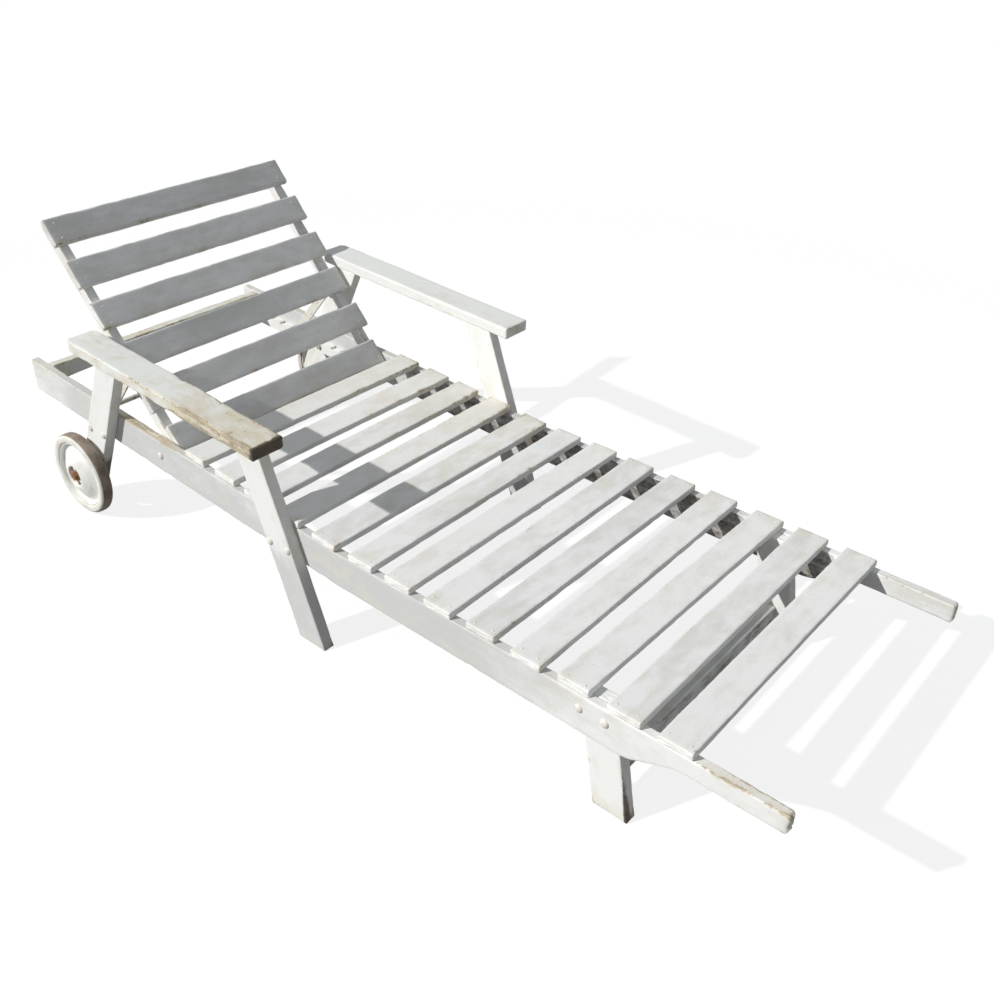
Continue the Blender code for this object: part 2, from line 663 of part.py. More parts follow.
def build_wheels():
    """Two wheels, each a rubber tyre on a pressed disc that is welded to a hub tube."""
    tyre_profile = [
        (TYRE_BORE, TYRE_INNER_FACE + TYRE_SHOULDER / 2),
        (WHEEL_RADIUS - TYRE_SHOULDER, TYRE_INNER_FACE),
        (WHEEL_RADIUS, TYRE_INNER_FACE + TYRE_SHOULDER),
        (WHEEL_RADIUS, TYRE_OUTER_FACE - TYRE_SHOULDER),
        (WHEEL_RADIUS - TYRE_SHOULDER, TYRE_OUTER_FACE),
        (TYRE_BORE + TYRE_SHOULDER, TYRE_OUTER_FACE),
        (TYRE_BORE, TYRE_OUTER_FACE - TYRE_SHOULDER / 2),
    ]
    rim_radius = TYRE_BORE - FIT_GAP
    rim_inside = rim_radius - RIM_WALL
    web_root = rim_inside - 2 * RIM_WALL
    web = TYRE_OUTER_FACE - DISC_SET_BACK
    dome = web + DISC_DOME
    hub_hole = HUB_RADIUS + FIT_GAP
    middle_radius = (web_root + DISH_RADIUS) / 2
    disc_profile = [
        (rim_radius, TYRE_OUTER_FACE - RIM_SET_BACK),
        (rim_inside, TYRE_OUTER_FACE - RIM_SET_BACK),
        (rim_inside, web + DISC_THICKNESS),
        (web_root, web),
        (middle_radius, web + DISC_SHOULDER_RISE),
        (DISH_RADIUS, dome),
        (DISH_RADIUS - DISH_DEPTH, dome - DISH_DEPTH),
        (hub_hole, dome - DISH_DEPTH),
        (hub_hole, dome - DISH_DEPTH - DISC_THICKNESS),
        (DISH_RADIUS - DISH_DEPTH, dome - DISH_DEPTH - DISC_THICKNESS),
        (web_root, web - DISC_THICKNESS),
        (rim_inside, web - 2 * DISC_THICKNESS),
        (rim_inside, TYRE_INNER_FACE + RIM_SET_BACK),
        (rim_radius, TYRE_INNER_FACE + RIM_SET_BACK),
    ]
    hub_bore = AXLE_RADIUS + RUNNING_FIT
    hub_profile = [
        (hub_bore, HUB_INNER_END),
        (HUB_RADIUS, HUB_INNER_END),
        (HUB_RADIUS, HUB_OUTER_END),
        (hub_bore, HUB_OUTER_END),
    ]
    for side, sign in SIDES:
        axle = add_pivot("wheel_%s_axle" % side, (AXLE_X, 0, AXLE_HEIGHT))
        tyre = bmesh.new()
        add_turned(tyre, tyre_profile, TYRE_SIDES, flip=sign, ring=True)
        add_piece("tyre_" + side, tyre, "rubber", axle)
        disc = bmesh.new()
        add_turned(disc, disc_profile, DISC_SIDES, flip=sign, ring=True)
        add_piece("wheel_disc_" + side, disc, "wheel_enamel", axle)
        hub = bmesh.new()
        add_turned(hub, hub_profile, PIVOT_SIDES, flip=sign, ring=True)
        add_piece("wheel_hub_" + side, hub, "rusty_steel", axle)


def stile_outline():
    """Side view of a back stile: it drops to the hinge at its lower end, rounded about the bolt."""
    half = STILE_DEPTH / 2
    hinge_end = arc(0, 0, half, 180, 360, ROUND_END_STEPS)
    underside = STILE_TOP - STILE_DEPTH
    upper_end = [(half, STILE_TOP), (-BACK_LENGTH, STILE_TOP)]
    return hinge_end + upper_end + [(-BACK_LENGTH, underside), (-half, underside)]


def build_back():
    """The hinged back, laid out flat from its hinge towards the head end."""
    hinge = add_pivot("backrest_hinge", HINGE, (0, BACK_ANGLE, 0))
    pivot_holes = bmesh.new()
    bolt_holes = bmesh.new()
    bolt_seat = STILE_OUTER - COUNTERBORE_DEPTH
    for _, sign in SIDES:
        add_rod(pivot_holes, HINGE_RADIUS + RUNNING_FIT, STILE_OUTER + CUT_OVERRUN,
                STILE_INNER - CUT_OVERRUN, PIVOT_SIDES, flip=sign)
        stepped_hole = [
            (0, STILE_OUTER + CUT_OVERRUN),
            (COUNTERBORE_RADIUS, STILE_OUTER + CUT_OVERRUN),
            (COUNTERBORE_RADIUS, bolt_seat),
            (BOLT_RADIUS + FIT_GAP, bolt_seat),
            (BOLT_RADIUS + FIT_GAP, STILE_INNER - CUT_OVERRUN),
            (0, STILE_INNER - CUT_OVERRUN),
        ]
        add_turned(bolt_holes, stepped_hole, PIVOT_SIDES, PROP_PIVOT, sign)
    pivot_cutter = add_cutter("hinge_pivot_holes", pivot_holes, hinge)
    bolt_cutter = add_cutter("prop_bolt_holes", bolt_holes, hinge)
    for side, sign in SIDES:
        stile = plank(stile_outline(), sign * STILE_INNER, sign * STILE_OUTER, "Y")
        cut(add_piece("back_stile_" + side, stile, "white_paint", hinge), pivot_cutter, bolt_cutter)
        nut_start = PROP_ARM_INNER - FIT_GAP
        nut_end = nut_start - NUT_THICKNESS
        profile = bolt_head(BOLT_RADIUS, bolt_seat + FIT_GAP) + [
            (BOLT_RADIUS, STILE_INNER - FIT_GAP),
            (COLLAR_RADIUS, STILE_INNER - FIT_GAP),
            (COLLAR_RADIUS, PROP_ARM_OUTER + FIT_GAP),
            (BOLT_RADIUS, PROP_ARM_OUTER + FIT_GAP),
            (BOLT_RADIUS, nut_end - BOLT_TIP),
            (0, nut_end - BOLT_TIP),
        ]
        bolt = bmesh.new()
        add_turned(bolt, profile, PIVOT_SIDES, flip=sign)
        add_piece("prop_bolt_" + side, bolt, "rusty_steel", hinge, PROP_PIVOT)
        prop_nut = bmesh.new()
        ring = nut(BOLT_RADIUS, NUT_FLATS, nut_start, nut_end)
        add_turned(prop_nut, ring, PIVOT_SIDES, flip=sign, ring=True)
        add_piece("prop_nut_" + side, prop_nut, "rusty_steel", hinge, PROP_PIVOT)
    outline = rectangle(-SLAT_WIDTH / 2, SLAT_WIDTH / 2, 0, SLAT_THICKNESS)
    places = back_slat_centres()
    for number, up in enumerate(places, start=1):
        reach = STILE_OUTER if number == len(places) else STILE_OUTER + BACK_SLAT_OVERHANG
        slat = plank(outline, -reach, reach, "Y", SLAT_EASE)
        place = (-up, 0, BACK_SLAT_BOTTOM)
        add_piece("back_slat_%d" % number, slat, "white_paint", hinge, place)
    return hinge


def prop_arm_outline():
    """Side view of a prop arm, rounded at both ends, from its pivot at zero to the bar."""
    half = PROP_ARM_DEPTH / 2
    pivot_end = arc(0, 0, half, -90, 90, ROUND_END_STEPS)
    return pivot_end + arc(-PROP_LENGTH, 0, half, 90, 270, ROUND_END_STEPS)


def build_prop(hinge):
    """The steel prop, which swings under the back and rests its bar on the racks."""
    pivot = add_pivot("prop_pivot", PROP_PIVOT, (0, -BACK_LEAN - PROP_LEAN, 0), hinge)
    bar_place = (-PROP_LENGTH, 0, 0)
    holes = bmesh.new()
    for _, sign in SIDES:
        add_rod(holes, BOLT_RADIUS + RUNNING_FIT, PROP_ARM_OUTER + CUT_OVERRUN,
                PROP_ARM_INNER - CUT_OVERRUN, PIVOT_SIDES, flip=sign)
        add_rod(holes, PROP_BAR_RADIUS + FIT_GAP, PROP_ARM_OUTER + CUT_OVERRUN,
                PROP_ARM_INNER - CUT_OVERRUN, PIVOT_SIDES, bar_place, sign)
    cutter = add_cutter("prop_arm_holes", holes, pivot)
    for side, sign in SIDES:
        arm = plank(prop_arm_outline(), sign * PROP_ARM_INNER, sign * PROP_ARM_OUTER, "Y", PROP_ARM_EASE)
        cut(add_piece("prop_arm_" + side, arm, "rusty_steel", pivot), cutter)
    bar = bmesh.new()
    half_length = RAIL_INNER - PROP_BAR_SIDE_GAP
    add_rod(bar, PROP_BAR_RADIUS, -half_length, half_length, PIVOT_SIDES, bar_place)
    add_piece("prop_bar", bar, "rusty_steel", pivot)


build_frame(build_frame_cutters())
build_pivots()
build_wheels()
build_prop(build_back())
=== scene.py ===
"""Looks of the weathered wooden chaise longue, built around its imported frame.

Metres, +Z up. +X runs from the head end (wheels) to the foot end (handles),
-Y is the near side. The sizes of the pieces are those of the solids.
"""

import math

import bpy
import numpy as np
from mathutils import Matrix, Vector


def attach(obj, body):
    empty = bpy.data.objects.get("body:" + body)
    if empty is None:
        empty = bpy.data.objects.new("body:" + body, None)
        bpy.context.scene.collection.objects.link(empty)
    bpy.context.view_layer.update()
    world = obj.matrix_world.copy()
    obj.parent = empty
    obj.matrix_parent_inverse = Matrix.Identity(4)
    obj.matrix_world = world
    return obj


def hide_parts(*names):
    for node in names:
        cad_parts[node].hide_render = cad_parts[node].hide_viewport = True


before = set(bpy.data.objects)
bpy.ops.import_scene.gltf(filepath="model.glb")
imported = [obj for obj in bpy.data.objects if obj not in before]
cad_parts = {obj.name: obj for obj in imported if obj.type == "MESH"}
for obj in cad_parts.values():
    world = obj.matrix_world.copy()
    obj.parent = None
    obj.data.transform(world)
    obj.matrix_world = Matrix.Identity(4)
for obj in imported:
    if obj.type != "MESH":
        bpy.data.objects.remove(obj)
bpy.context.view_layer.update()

# Rails and cross members
RAIL_LENGTH = 1.989
HALF_WIDTH = 0.322
RAIL_INNER = 0.3035
RAIL_DEPTH = 0.077
RAIL_TOP = 0.241
CRANK_ANGLE = math.radians(2.8)
HANDLE_LENGTH = 0.170
HANDLE_SHOULDER = 0.125
HANDLE_DEPTH = 0.037
HEAD_X = -RAIL_LENGTH / 2
FOOT_X = RAIL_LENGTH / 2
CRANK_X = HEAD_X + 1.050
RAIL_MIDDLE = RAIL_TOP - RAIL_DEPTH / 2
CROSSBAR_BACK = HEAD_X + 0.044
CROSSBAR_FRONT = HEAD_X + 0.069
CROSSBAR_DEPTH = 0.041
CROSSBAR_ARCH = 0.009
STRETCHER_HEIGHT = 0.064
STRETCHER_SETBACK = 0.0137
STRETCHER_THICKNESS = 0.025
STRETCHER_DEPTH = 0.048
FIT_GAP = 0.0003
SIDES = (("near", -1), ("far", 1))

# Slats
SLAT_WIDTH = 0.0635
SLAT_THICKNESS = 0.014
SLAT_PITCH = 0.0982
LAST_SLAT_X = 0.80625

# How far each seat slat's near and far end lie off their even places, in mm:
# along the frame at the near end, at the far end, and outwards at each end
SLAT_SHIFTS = (
    (0, 5, -3, -7), (0, 5, -3, -7), (0, -1, 0, -5), (0, 0, 0, -5), (4, 6, 2, -6),
    (4, 3, 1, -4), (0, -1, 0, -1), (1, -4, 2, -2), (-1, -1, -1, -1), (3, -3, 4, 3),
    (-2, 2, -3, 2), (0, -3, 1, 4), (-4, -3, 2, 3),
)

# Legs: middle x at the height "at", lean per metre, and how far below the rail's top the bolts are
LEG_INNER = 0.3223
LEG_OUTER = 0.3473
FOOT_LEG_OUTER = 0.3032
FOOT_LEG_INNER = 0.2782
FRONT_LEG = {"x": HEAD_X + 0.917, "at": RAIL_MIDDLE, "lean": math.tan(math.radians(20.3)),
             "width": 0.069, "bolt_drop": 0.043}
REAR_LEG = {"x": HEAD_X + 0.2385, "at": 0.098, "lean": -math.tan(math.radians(25.6)),
            "width": 0.066, "bolt_drop": 0.059}
FOOT_LEG = {"x": FOOT_X - 0.342, "at": RAIL_MIDDLE, "lean": math.tan(math.radians(11.3)),
            "width": 0.0695, "bolt_drop": 0.028}

# Armrests
ARMREST_TILT = math.radians(2.4)
ARMREST_FRONT = Vector((-0.0675, 0, 0.4425))
ARMREST_LENGTH = 0.604 / math.cos(ARMREST_TILT)
ARMREST_INNER = 0.3188
ARMREST_WIDTH = 0.071
ARMREST_OUTER = ARMREST_INNER + ARMREST_WIDTH
ARMREST_THICKNESS = 0.0252
ARMREST_CORNER = 0.014

# Folding back
HINGE = Vector((-0.4917, 0, 0.229263))
BACK_ANGLE = math.radians(48.1)
BACK_LENGTH = 0.5437
BACK_SLATS = 6
BACK_SLAT_PITCH = 0.100
BACK_SLAT_BOTTOM = 0.0388
BACK_SLAT_REACH = 0.3127
TOP_SLAT_TRIM = 0.0018
STILE_OUTER = 0.3015
STILE_INNER = 0.2795
STILE_TOP = 0.0385
STILE_DEPTH = 0.027
STILE_MIDDLE = STILE_TOP - STILE_DEPTH / 2

# Prop
PROP_LENGTH = 0.204
PROP_RISE = math.asin(STILE_MIDDLE / PROP_LENGTH)
PROP_PIVOT = Vector((-PROP_LENGTH * math.cos(PROP_RISE), 0, STILE_MIDDLE))
PROP_FOLD = 2 * (BACK_ANGLE - CRANK_ANGLE) + PROP_RISE
PROP_ARM_OUTER = 0.2745
PROP_ARM_INNER = 0.2695
PROP_ARM_DEPTH = 0.022
PROP_BAR_RADIUS = 0.006
PROP_BAR_GAP = 0.003

# Wheels
AXLE = Vector((-0.756, 0, 0.098))
WHEEL_RADIUS = 0.098
TYRE_INNER_FACE = 0.3553
TYRE_OUTER_FACE = 0.3853
TYRE_BORE = 0.078
DISC_WEB = TYRE_OUTER_FACE - 0.0135
DISC_DOME = DISC_WEB + 0.0215
HUB_RADIUS = 0.011
HUB_BORE = 0.0061
HUB_OUTER_END = 0.3888
HUB_INNER_END = 0.3509
SLOT_INNER = 0.0135
SLOT_OUTER = 0.0235
SLOT_ANGLES = (math.radians(128), math.radians(308))
SLOT_HALF_ANGLE = 0.62

# Bolts and nails
BOLT_RADIUS = 0.004
BOLT_HEAD_RADIUS = 0.008
BOLT_HEAD_HEIGHT = 0.004
BOLT_HEAD_SINK = 0.0004
BOLT_OFFSET = 0.0255
BOLT_TIP = 0.002
NUT_FLATS = 0.013
NUT_THICKNESS = 0.0065
REAR_NUT_SEAT = 0.2869
SEAT_NAIL_X = 0.019
SEAT_NAIL_Y = 0.309
BACK_NAIL_X = 0.018
BACK_NAIL_Y = 0.2905
NAIL_SCATTER = 0.003
NAIL_RADIUS = 0.0018
NAIL_SIDES = 12
NAIL_RINGS = ((1.0, -0.0006), (1.0, 0.0002), (0.8, 0.0006), (0.4, 0.0008))
NAIL_TOP = 0.00085
NAIL_BOTTOM = 0.0006

# How finely boards are cut and how they wear
STATION_STEP = 0.007
CORNER_STEPS = 3
SIDE_SHARES = (0.07, 0.36, 0.64, 0.93)
LEAST_ROUNDING = 0.0003
WIDEST_ROUNDING = 0.46
HOLLOW_DEPTH = 0.00035
EDGE_REACH = 0.0035
END_REACH = 0.004
CAP_SHARE = 0.6
BOARD_SHARP_ANGLE = math.radians(52)
DISH_SHARP_ANGLE = math.radians(40)

# Which of a board's measures (0 along, 1 across, 2 through) are its X, Y and Z
ALONG_X = [0, 2, 1]
ALONG_X_FLAT = [0, 1, 2]
ALONG_Y = [1, 0, 2]
ALONG_Z = [1, 2, 0]

# The photograph's viewpoint
CAMERA_PLACE = (1.3068, -1.3694, 1.4275)
CAMERA_RIGHT = (0.76235, 0.646766, 0.022753)
CAMERA_UP = (-0.369733, 0.406413, 0.835539)
CAMERA_BACK = (0.531151, -0.645385, 0.548959)
LENS = 38.62

# Light and floor
SUN_RAYS = (0.45, 0.734, -0.56)
SUN_LEVEL = 1.05
SUN_ANGLE = math.radians(0.9)
SUN_COLOUR = (1.0, 0.99, 0.97)
SKY_LEVEL = 0.30
SKY_COLOUR = (0.90, 0.95, 1.0)
FLOOR_SIZE = 30.0
FLOOR_HEIGHT = -0.0004
FLOOR_FADE = (1.5, 4.5)
FLOOR_GLOW = 0.83
FLOOR_SHADE = 0.22
WHITE = (1.0, 1.0, 1.0)

# Colours under and over the paint
WOOD_LIGHT = (0.60, 0.52, 0.38)
WOOD_DARK = (0.30, 0.23, 0.15)
# Grime, also used as the colour of painted shade
GRIME_AND_SHADE = (0.085, 0.065, 0.045)
SPECK = (0.20, 0.16, 0.11)
GRAIN_TINT = (0.74, 0.73, 0.68)
THIN_PAINT_TINT = (0.90, 0.84, 0.70)
RUST_DARK = (0.10, 0.055, 0.035)
RUST_LIGHT = (0.42, 0.21, 0.09)
STAINED_PAINT = (0.74, 0.66, 0.52)


# Boards
def wander(rng, along, spacing):
    """Smooth random values between -1 and 1 at places along a board."""
    knots = rng.uniform(-1, 1, int((along.max() - along.min()) / spacing) + 3)
    place = (along - along.min()) / spacing
    index = place.astype(int)
    share = place - index
    share = share * share * (3 - 2 * share)
    return knots[index] * (1 - share) + knots[index + 1] * share


def chips(rng, along, per_metre, deepest):
    """Depth of the small chips out of one edge, at places along it."""
    depth = np.zeros_like(along)
    for _ in range(rng.poisson(per_metre * np.ptp(along))):
        place = rng.uniform(along.min(), along.max())
        reach = rng.uniform(0.003, 0.014)
        deep = deepest * rng.uniform(0.25, 1.0)
        depth = np.maximum(depth, deep * np.exp(-((along - place) / reach) ** 2))
    return depth


def spaced(start, stop, ease):
    """Stations along a board with rounded ends, and how far each one's section is drawn in."""
    turn = np.radians([0, 30, 60])
    count = max(2, int((stop - start - 2 * ease) / STATION_STEP))
    middle = np.linspace(start + ease, stop - ease, count + 1)
    end = ease * (1 - np.cos(turn))
    along = np.concatenate([start + end, middle, (stop - end)[::-1]])
    sink = ease * (1 - np.sin(turn))
    inset = np.concatenate([sink, np.zeros(count + 1), sink[::-1]])
    return along, inset


def board_rings(along, limits, inset, radius, rng, chip_rate, chip_depth):
    """Rounded, worn sections: points (stations, ring, 2) and how near each is to an edge."""
    low_a, high_a, low_b, high_b = [np.broadcast_to(limit, along.shape).astype(float) for limit in limits]
    low_a, low_b = low_a + inset, low_b + inset
    high_a, high_b = high_a - inset, high_b - inset
    widest = WIDEST_ROUNDING * np.minimum(high_a - low_a, high_b - low_b)
    corners = ((high_a, high_b, 0), (low_a, high_b, 90), (low_a, low_b, 180), (high_a, low_b, 270))
    arcs, wear = [], []
    for at_a, at_b, start in corners:
        nick = chips(rng, along, chip_rate, chip_depth)
        bend = radius * (1 + 0.45 * wander(rng, along, 0.05) + 0.25 * wander(rng, along, 0.012)) + nick
        bend = np.clip(bend, LEAST_ROUNDING, widest)
        middle_a = at_a - np.sign(at_a - (low_a + high_a) / 2) * bend
        middle_b = at_b - np.sign(at_b - (low_b + high_b) / 2) * bend
        arc = []
        for step in range(CORNER_STEPS + 1):
            angle = math.radians(start + 90 * step / CORNER_STEPS)
            arc.append(np.stack([middle_a + bend * math.cos(angle), middle_b + bend * math.sin(angle)], 1))
        arcs.append(arc)
        wear.append(np.clip(0.75 + nick / 0.004, 0, 1.3))
    points, edges = [], []
    for arc, worn, next_arc in zip(arcs, wear, arcs[1:] + arcs[:1]):
        points += arc
        edges += [worn] * len(arc)
        first, last = arc[-1], next_arc[0]
        length = np.linalg.norm(last - first, axis=1)
        inward = np.stack([first[:, 1] - last[:, 1], last[:, 0] - first[:, 0]], 1)
        inward /= np.maximum(length, 1e-9)[:, None]
        for share in SIDE_SHARES:
            hollow = HOLLOW_DEPTH * (1 + wander(rng, along, 0.06)) * min(share, 1 - share)
            points.append(first + (last - first) * share + inward * hollow[:, None])
            edges.append(0.75 * np.exp(-length * min(share, 1 - share) / EDGE_REACH))
    return np.stack(points, 1), np.stack(edges, 1)


def band(first, second, count):
    """Faces between two rings of as many points, from the number of each ring's first point."""
    faces = []
    for here in range(count):
        after = (here + 1) % count
        faces.append((first + here, first + after, second + after, second + here))
    return faces


def new_object(name, data):
    """Puts a new object into the scene."""
    made = bpy.data.objects.new(name, data)
    bpy.context.scene.collection.objects.link(made)
    return made


def add_mesh(name, points, faces, marks, slot, body, nodes):
    """Makes an object from points and faces, with the values that its material reads."""
    mesh = bpy.data.meshes.new(name)
    mesh.from_pydata(points.tolist(), [], faces)
    for title, values in marks.items():
        kind, field = ("FLOAT_VECTOR", "vector") if values.ndim == 2 else ("FLOAT", "value")
        mesh.attributes.new(title, kind, "POINT").data.foreach_set(field, values.astype(np.float32).ravel())
    mesh.validate()
    mesh.shade_smooth()
    mesh.set_sharp_from_angle(angle=BOARD_SHARP_ANGLE)
    piece = new_object(name, mesh)
    mesh.materials.append(MATERIALS[slot])
    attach(piece, body)
    if nodes:
        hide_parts(*nodes)
    return piece


def add_board(name, span, across, through, order, node, turn=None, slot="white_paint", body="frame",
              lean=0.0, ease=0.002, radius=0.0018, top_slope=0.0, chip_rate=5.0, chip_depth=0.0022,
              end_wear=0.0008, paint=None, seed=0, tone_and_shade=0.2):
    """A worn board swept along its length, which replaces one node.

    across and through are its low and high limits, or functions of along that give them.
    turn places it, and lean is how far across its grain shifts per metre. paint(along,
    across, through) gives how bare each point is and how dark, by dirt and in places by
    painted shade, and tone, a number or a function of along, how dull and grey its paint
    is, which on some boards is painted shade.
    """
    rng = np.random.default_rng(seed)
    along, inset = spaced(*span, ease)
    limits = []
    for pair in (across, through):
        limits += pair(along) if callable(pair) else pair
    ring, edge = board_rings(along, limits, inset, radius, rng, chip_rate, chip_depth)
    stations, around = edge.shape
    reach = np.repeat(along[:, None], around, 1)
    share = (reach - span[0]) / (span[1] - span[0])
    for end, sign in ((0, 1), (1, -1)):
        ragged = rng.uniform(0, 1, around) ** 2 * end_wear
        near = np.exp(-np.abs(reach - span[end]) / END_REACH)
        reach = reach + sign * ragged[None, :] * near
        edge = np.maximum(edge, 0.7 * np.exp(-np.abs(reach - span[end]) / EDGE_REACH))
    reach = reach + top_slope * share * (ring[:, :, 0] - ring[:, :, 0].mean(1, keepdims=True))
    body_points = np.concatenate([reach[:, :, None], ring], 2)
    caps = []
    for end, sign in ((0, 1), (-1, -1)):
        centre = body_points[end].mean(0)
        inner = centre + (body_points[end] - centre) * CAP_SHARE
        inner[:, 0] += sign * rng.uniform(0, 0.0003, around)
        caps.append(np.concatenate([inner, centre[None]], 0))
    local = np.concatenate([body_points.reshape(-1, 3), caps[0], caps[1]], 0)
    cap_edge = np.concatenate([np.full(around, 0.35), [0.30]])
    worn = np.concatenate([edge.ravel(), cap_edge, cap_edge])
    faces = []
    for station in range(stations - 1):
        faces += band(station * around, (station + 1) * around, around)
    for end, first in ((0, 0), (1, (stations - 1) * around)):
        inner = stations * around + end * (around + 1)
        for here in range(around):
            after = (here + 1) % around
            quad = (first + here, inner + here, inner + after, first + after)
            fan = (inner + here, inner + around, inner + after)
            faces += [quad, fan] if end == 0 else [quad[::-1], fan[::-1]]
    world = local[:, order]
    if turn:
        matrix = np.array(turn)
        world = world @ matrix[:3, :3].T + matrix[:3, 3]
    if np.linalg.det(np.eye(3)[order]) < 0:
        faces = [face[::-1] for face in faces]
    grain = local.copy()
    grain[:, 1] -= lean * grain[:, 0]
    bare, dirt_and_shade = paint(local[:, 0], local[:, 1], local[:, 2]) if paint else (0, 0)
    dullness_and_shade = (tone_and_shade(local[:, 0]) if callable(tone_and_shade) else tone_and_shade) + rng.uniform(-0.12, 0.12)
    marks = {"grain": grain + rng.uniform(-20, 20, 3), "edge": worn}
    for title, values in (("bare", bare), ("dirt_and_shade", dirt_and_shade), ("tone_and_shade", dullness_and_shade)):
        marks[title] = np.broadcast_to(values, worn.shape).astype(float)
    add_mesh(name, world, faces, marks, slot, body, [node])


def step_up(value, low, high):
    """Smooth step from 0 to 1."""
    share = np.clip((value - low) / (high - low), 0, 1)
    return share * share * (3 - 2 * share)


def at_edge(value, edge):
    """1 within a millimetre of an edge, 0 from four millimetres on."""
    return step_up(value, edge - 0.004, edge - 0.001)


def rail_top(x):
    """Height of a rail's top, which rises from the crank to the head end."""
    return RAIL_TOP + np.maximum(0, CRANK_X - x) * math.tan(CRANK_ANGLE)


def rail_bottom(x):
    """Height of a rail's lower edge, which sweeps up to the handle."""
    start = FOOT_X - HANDLE_LENGTH - HANDLE_SHOULDER
    share = np.clip((x - start) / HANDLE_SHOULDER, 0, 1)
    rise = (RAIL_DEPTH - HANDLE_DEPTH) * (1 - np.cos(np.pi * share)) / 2
    return rail_top(x) - RAIL_DEPTH + rise


def side_bounds(sign, inner, outer):
    """Low and high Y of a board on one side."""
    return tuple(sorted((sign * inner, sign * outer)))


def leg_middle(leg, height):
    """Middle of a leg along X at a height."""
    return leg["x"] - leg["lean"] * (height - leg["at"])


def leg_half(leg):
    """Half of a leg's level width along X."""
    return leg["width"] / 2 * math.hypot(1, leg["lean"])


def leg_top(leg, height):
    """Height of a leg's top under the armrest, from about that height."""
    drop = ARMREST_THICKNESS / math.cos(ARMREST_TILT)
    rise = (ARMREST_FRONT.x - leg_middle(leg, height)) * math.tan(ARMREST_TILT)
    return ARMREST_FRONT.z - drop + rise - FIT_GAP


def rear_leg_limits(height):
    """Low and high X of a rear leg, rounded about the axle."""
    half = REAR_LEG["width"] / 2
    lean = math.atan(-REAR_LEG["lean"])
    level = half / math.cos(lean)
    middle = leg_middle(REAR_LEG, height)
    circle = np.sqrt(np.maximum(half ** 2 - (height - AXLE.z) ** 2, 1e-8))
    low = np.where(height >= AXLE.z + half * math.sin(lean), middle - level, AXLE.x - circle)
    high = np.where(height >= AXLE.z - half * math.sin(lean), middle + level, AXLE.x + circle)
    return low, high


# Materials
class Graph:
    """Short calls for building the nodes of one material or world."""

    def __init__(self, owner):
        owner.use_nodes = True
        self.owner = owner
        self.tree = owner.node_tree

    def put(self, socket, value):
        if isinstance(value, bpy.types.NodeSocket):
            self.tree.links.new(value, socket)
        elif socket.type == "RGBA":
            socket.default_value = (*value, 1.0)
        else:
            socket.default_value = value

    def node(self, kind, settings=None, **values):
        made = self.tree.nodes.new("ShaderNode" + kind)
        for key, value in (settings or {}).items():
            setattr(made, key, value)
        for key, value in values.items():
            self.put(made.inputs[key], value)
        return made

    def mark(self, name):
        made = self.node("Attribute", {"attribute_name": name})
        return made.outputs["Vector" if name == "grain" else "Fac"]

    def stretched(self, coordinates, scale):
        made = self.node("VectorMath", {"operation": "MULTIPLY"})
        self.put(made.inputs[0], coordinates)
        self.put(made.inputs[1], scale)
        return made.outputs[0]

    def length(self, vector):
        made = self.node("VectorMath", {"operation": "LENGTH"})
        self.put(made.inputs[0], vector)
        return made.outputs["Value"]

    def noise(self, coordinates, scale=1.0, detail=3.0, rough=0.55):
        made = self.node("TexNoise", Vector=coordinates, Scale=scale, Detail=detail, Roughness=rough)
        return made.outputs["Fac"]

    def math(self, operation, first, second=0.0, third=0.0):
        made = self.node("Math", {"operation": operation})
        for socket, value in zip(made.inputs, (first, second, third)):
            self.put(socket, value)
        return made.outputs[0]

    def total(self, *terms):
        """Sum of (socket, weight) pairs and plain numbers."""
        result = None
        for term in terms:
            if isinstance(term, tuple):
                result = self.math("MULTIPLY_ADD", term[0], term[1], 0.0 if result is None else result)
            else:
                result = self.math("ADD", result, term)
        return result

    def ramp(self, value, low, high, start=0.0, stop=1.0):
        made = self.node("MapRange", {"interpolation_type": "SMOOTHSTEP"}, Value=value)
        for socket, limit in zip(made.inputs[1:5], (low, high, start, stop)):
            self.put(socket, limit)
        return made.outputs[0]

    def mix(self, share, first, second, blend="MIX"):
        made = self.node("Mix", {"data_type": "RGBA", "blend_type": blend})
        self.put(made.inputs[0], share)
        self.put(made.inputs[6], first)
        self.put(made.inputs[7], second)
        return made.outputs[2]

    def seen_rays(self):
        """1 for rays that show the stage directly, in gloss or through glass."""
        path = self.node("LightPath").outputs
        first = self.math("MAXIMUM", path["Is Camera Ray"], path["Is Glossy Ray"])
        return self.math("MAXIMUM", first, path["Is Transmission Ray"])

    def finish(self, colour, roughness, height, strength, distance):
        bump = self.node("Bump", Height=height, Strength=strength, Distance=distance)
        shader = self.tree.nodes["Principled BSDF"]
        self.put(shader.inputs["Base Color"], colour)
        self.put(shader.inputs["Roughness"], roughness)
        self.put(shader.inputs["Normal"], bump.outputs["Normal"])
        return self.owner


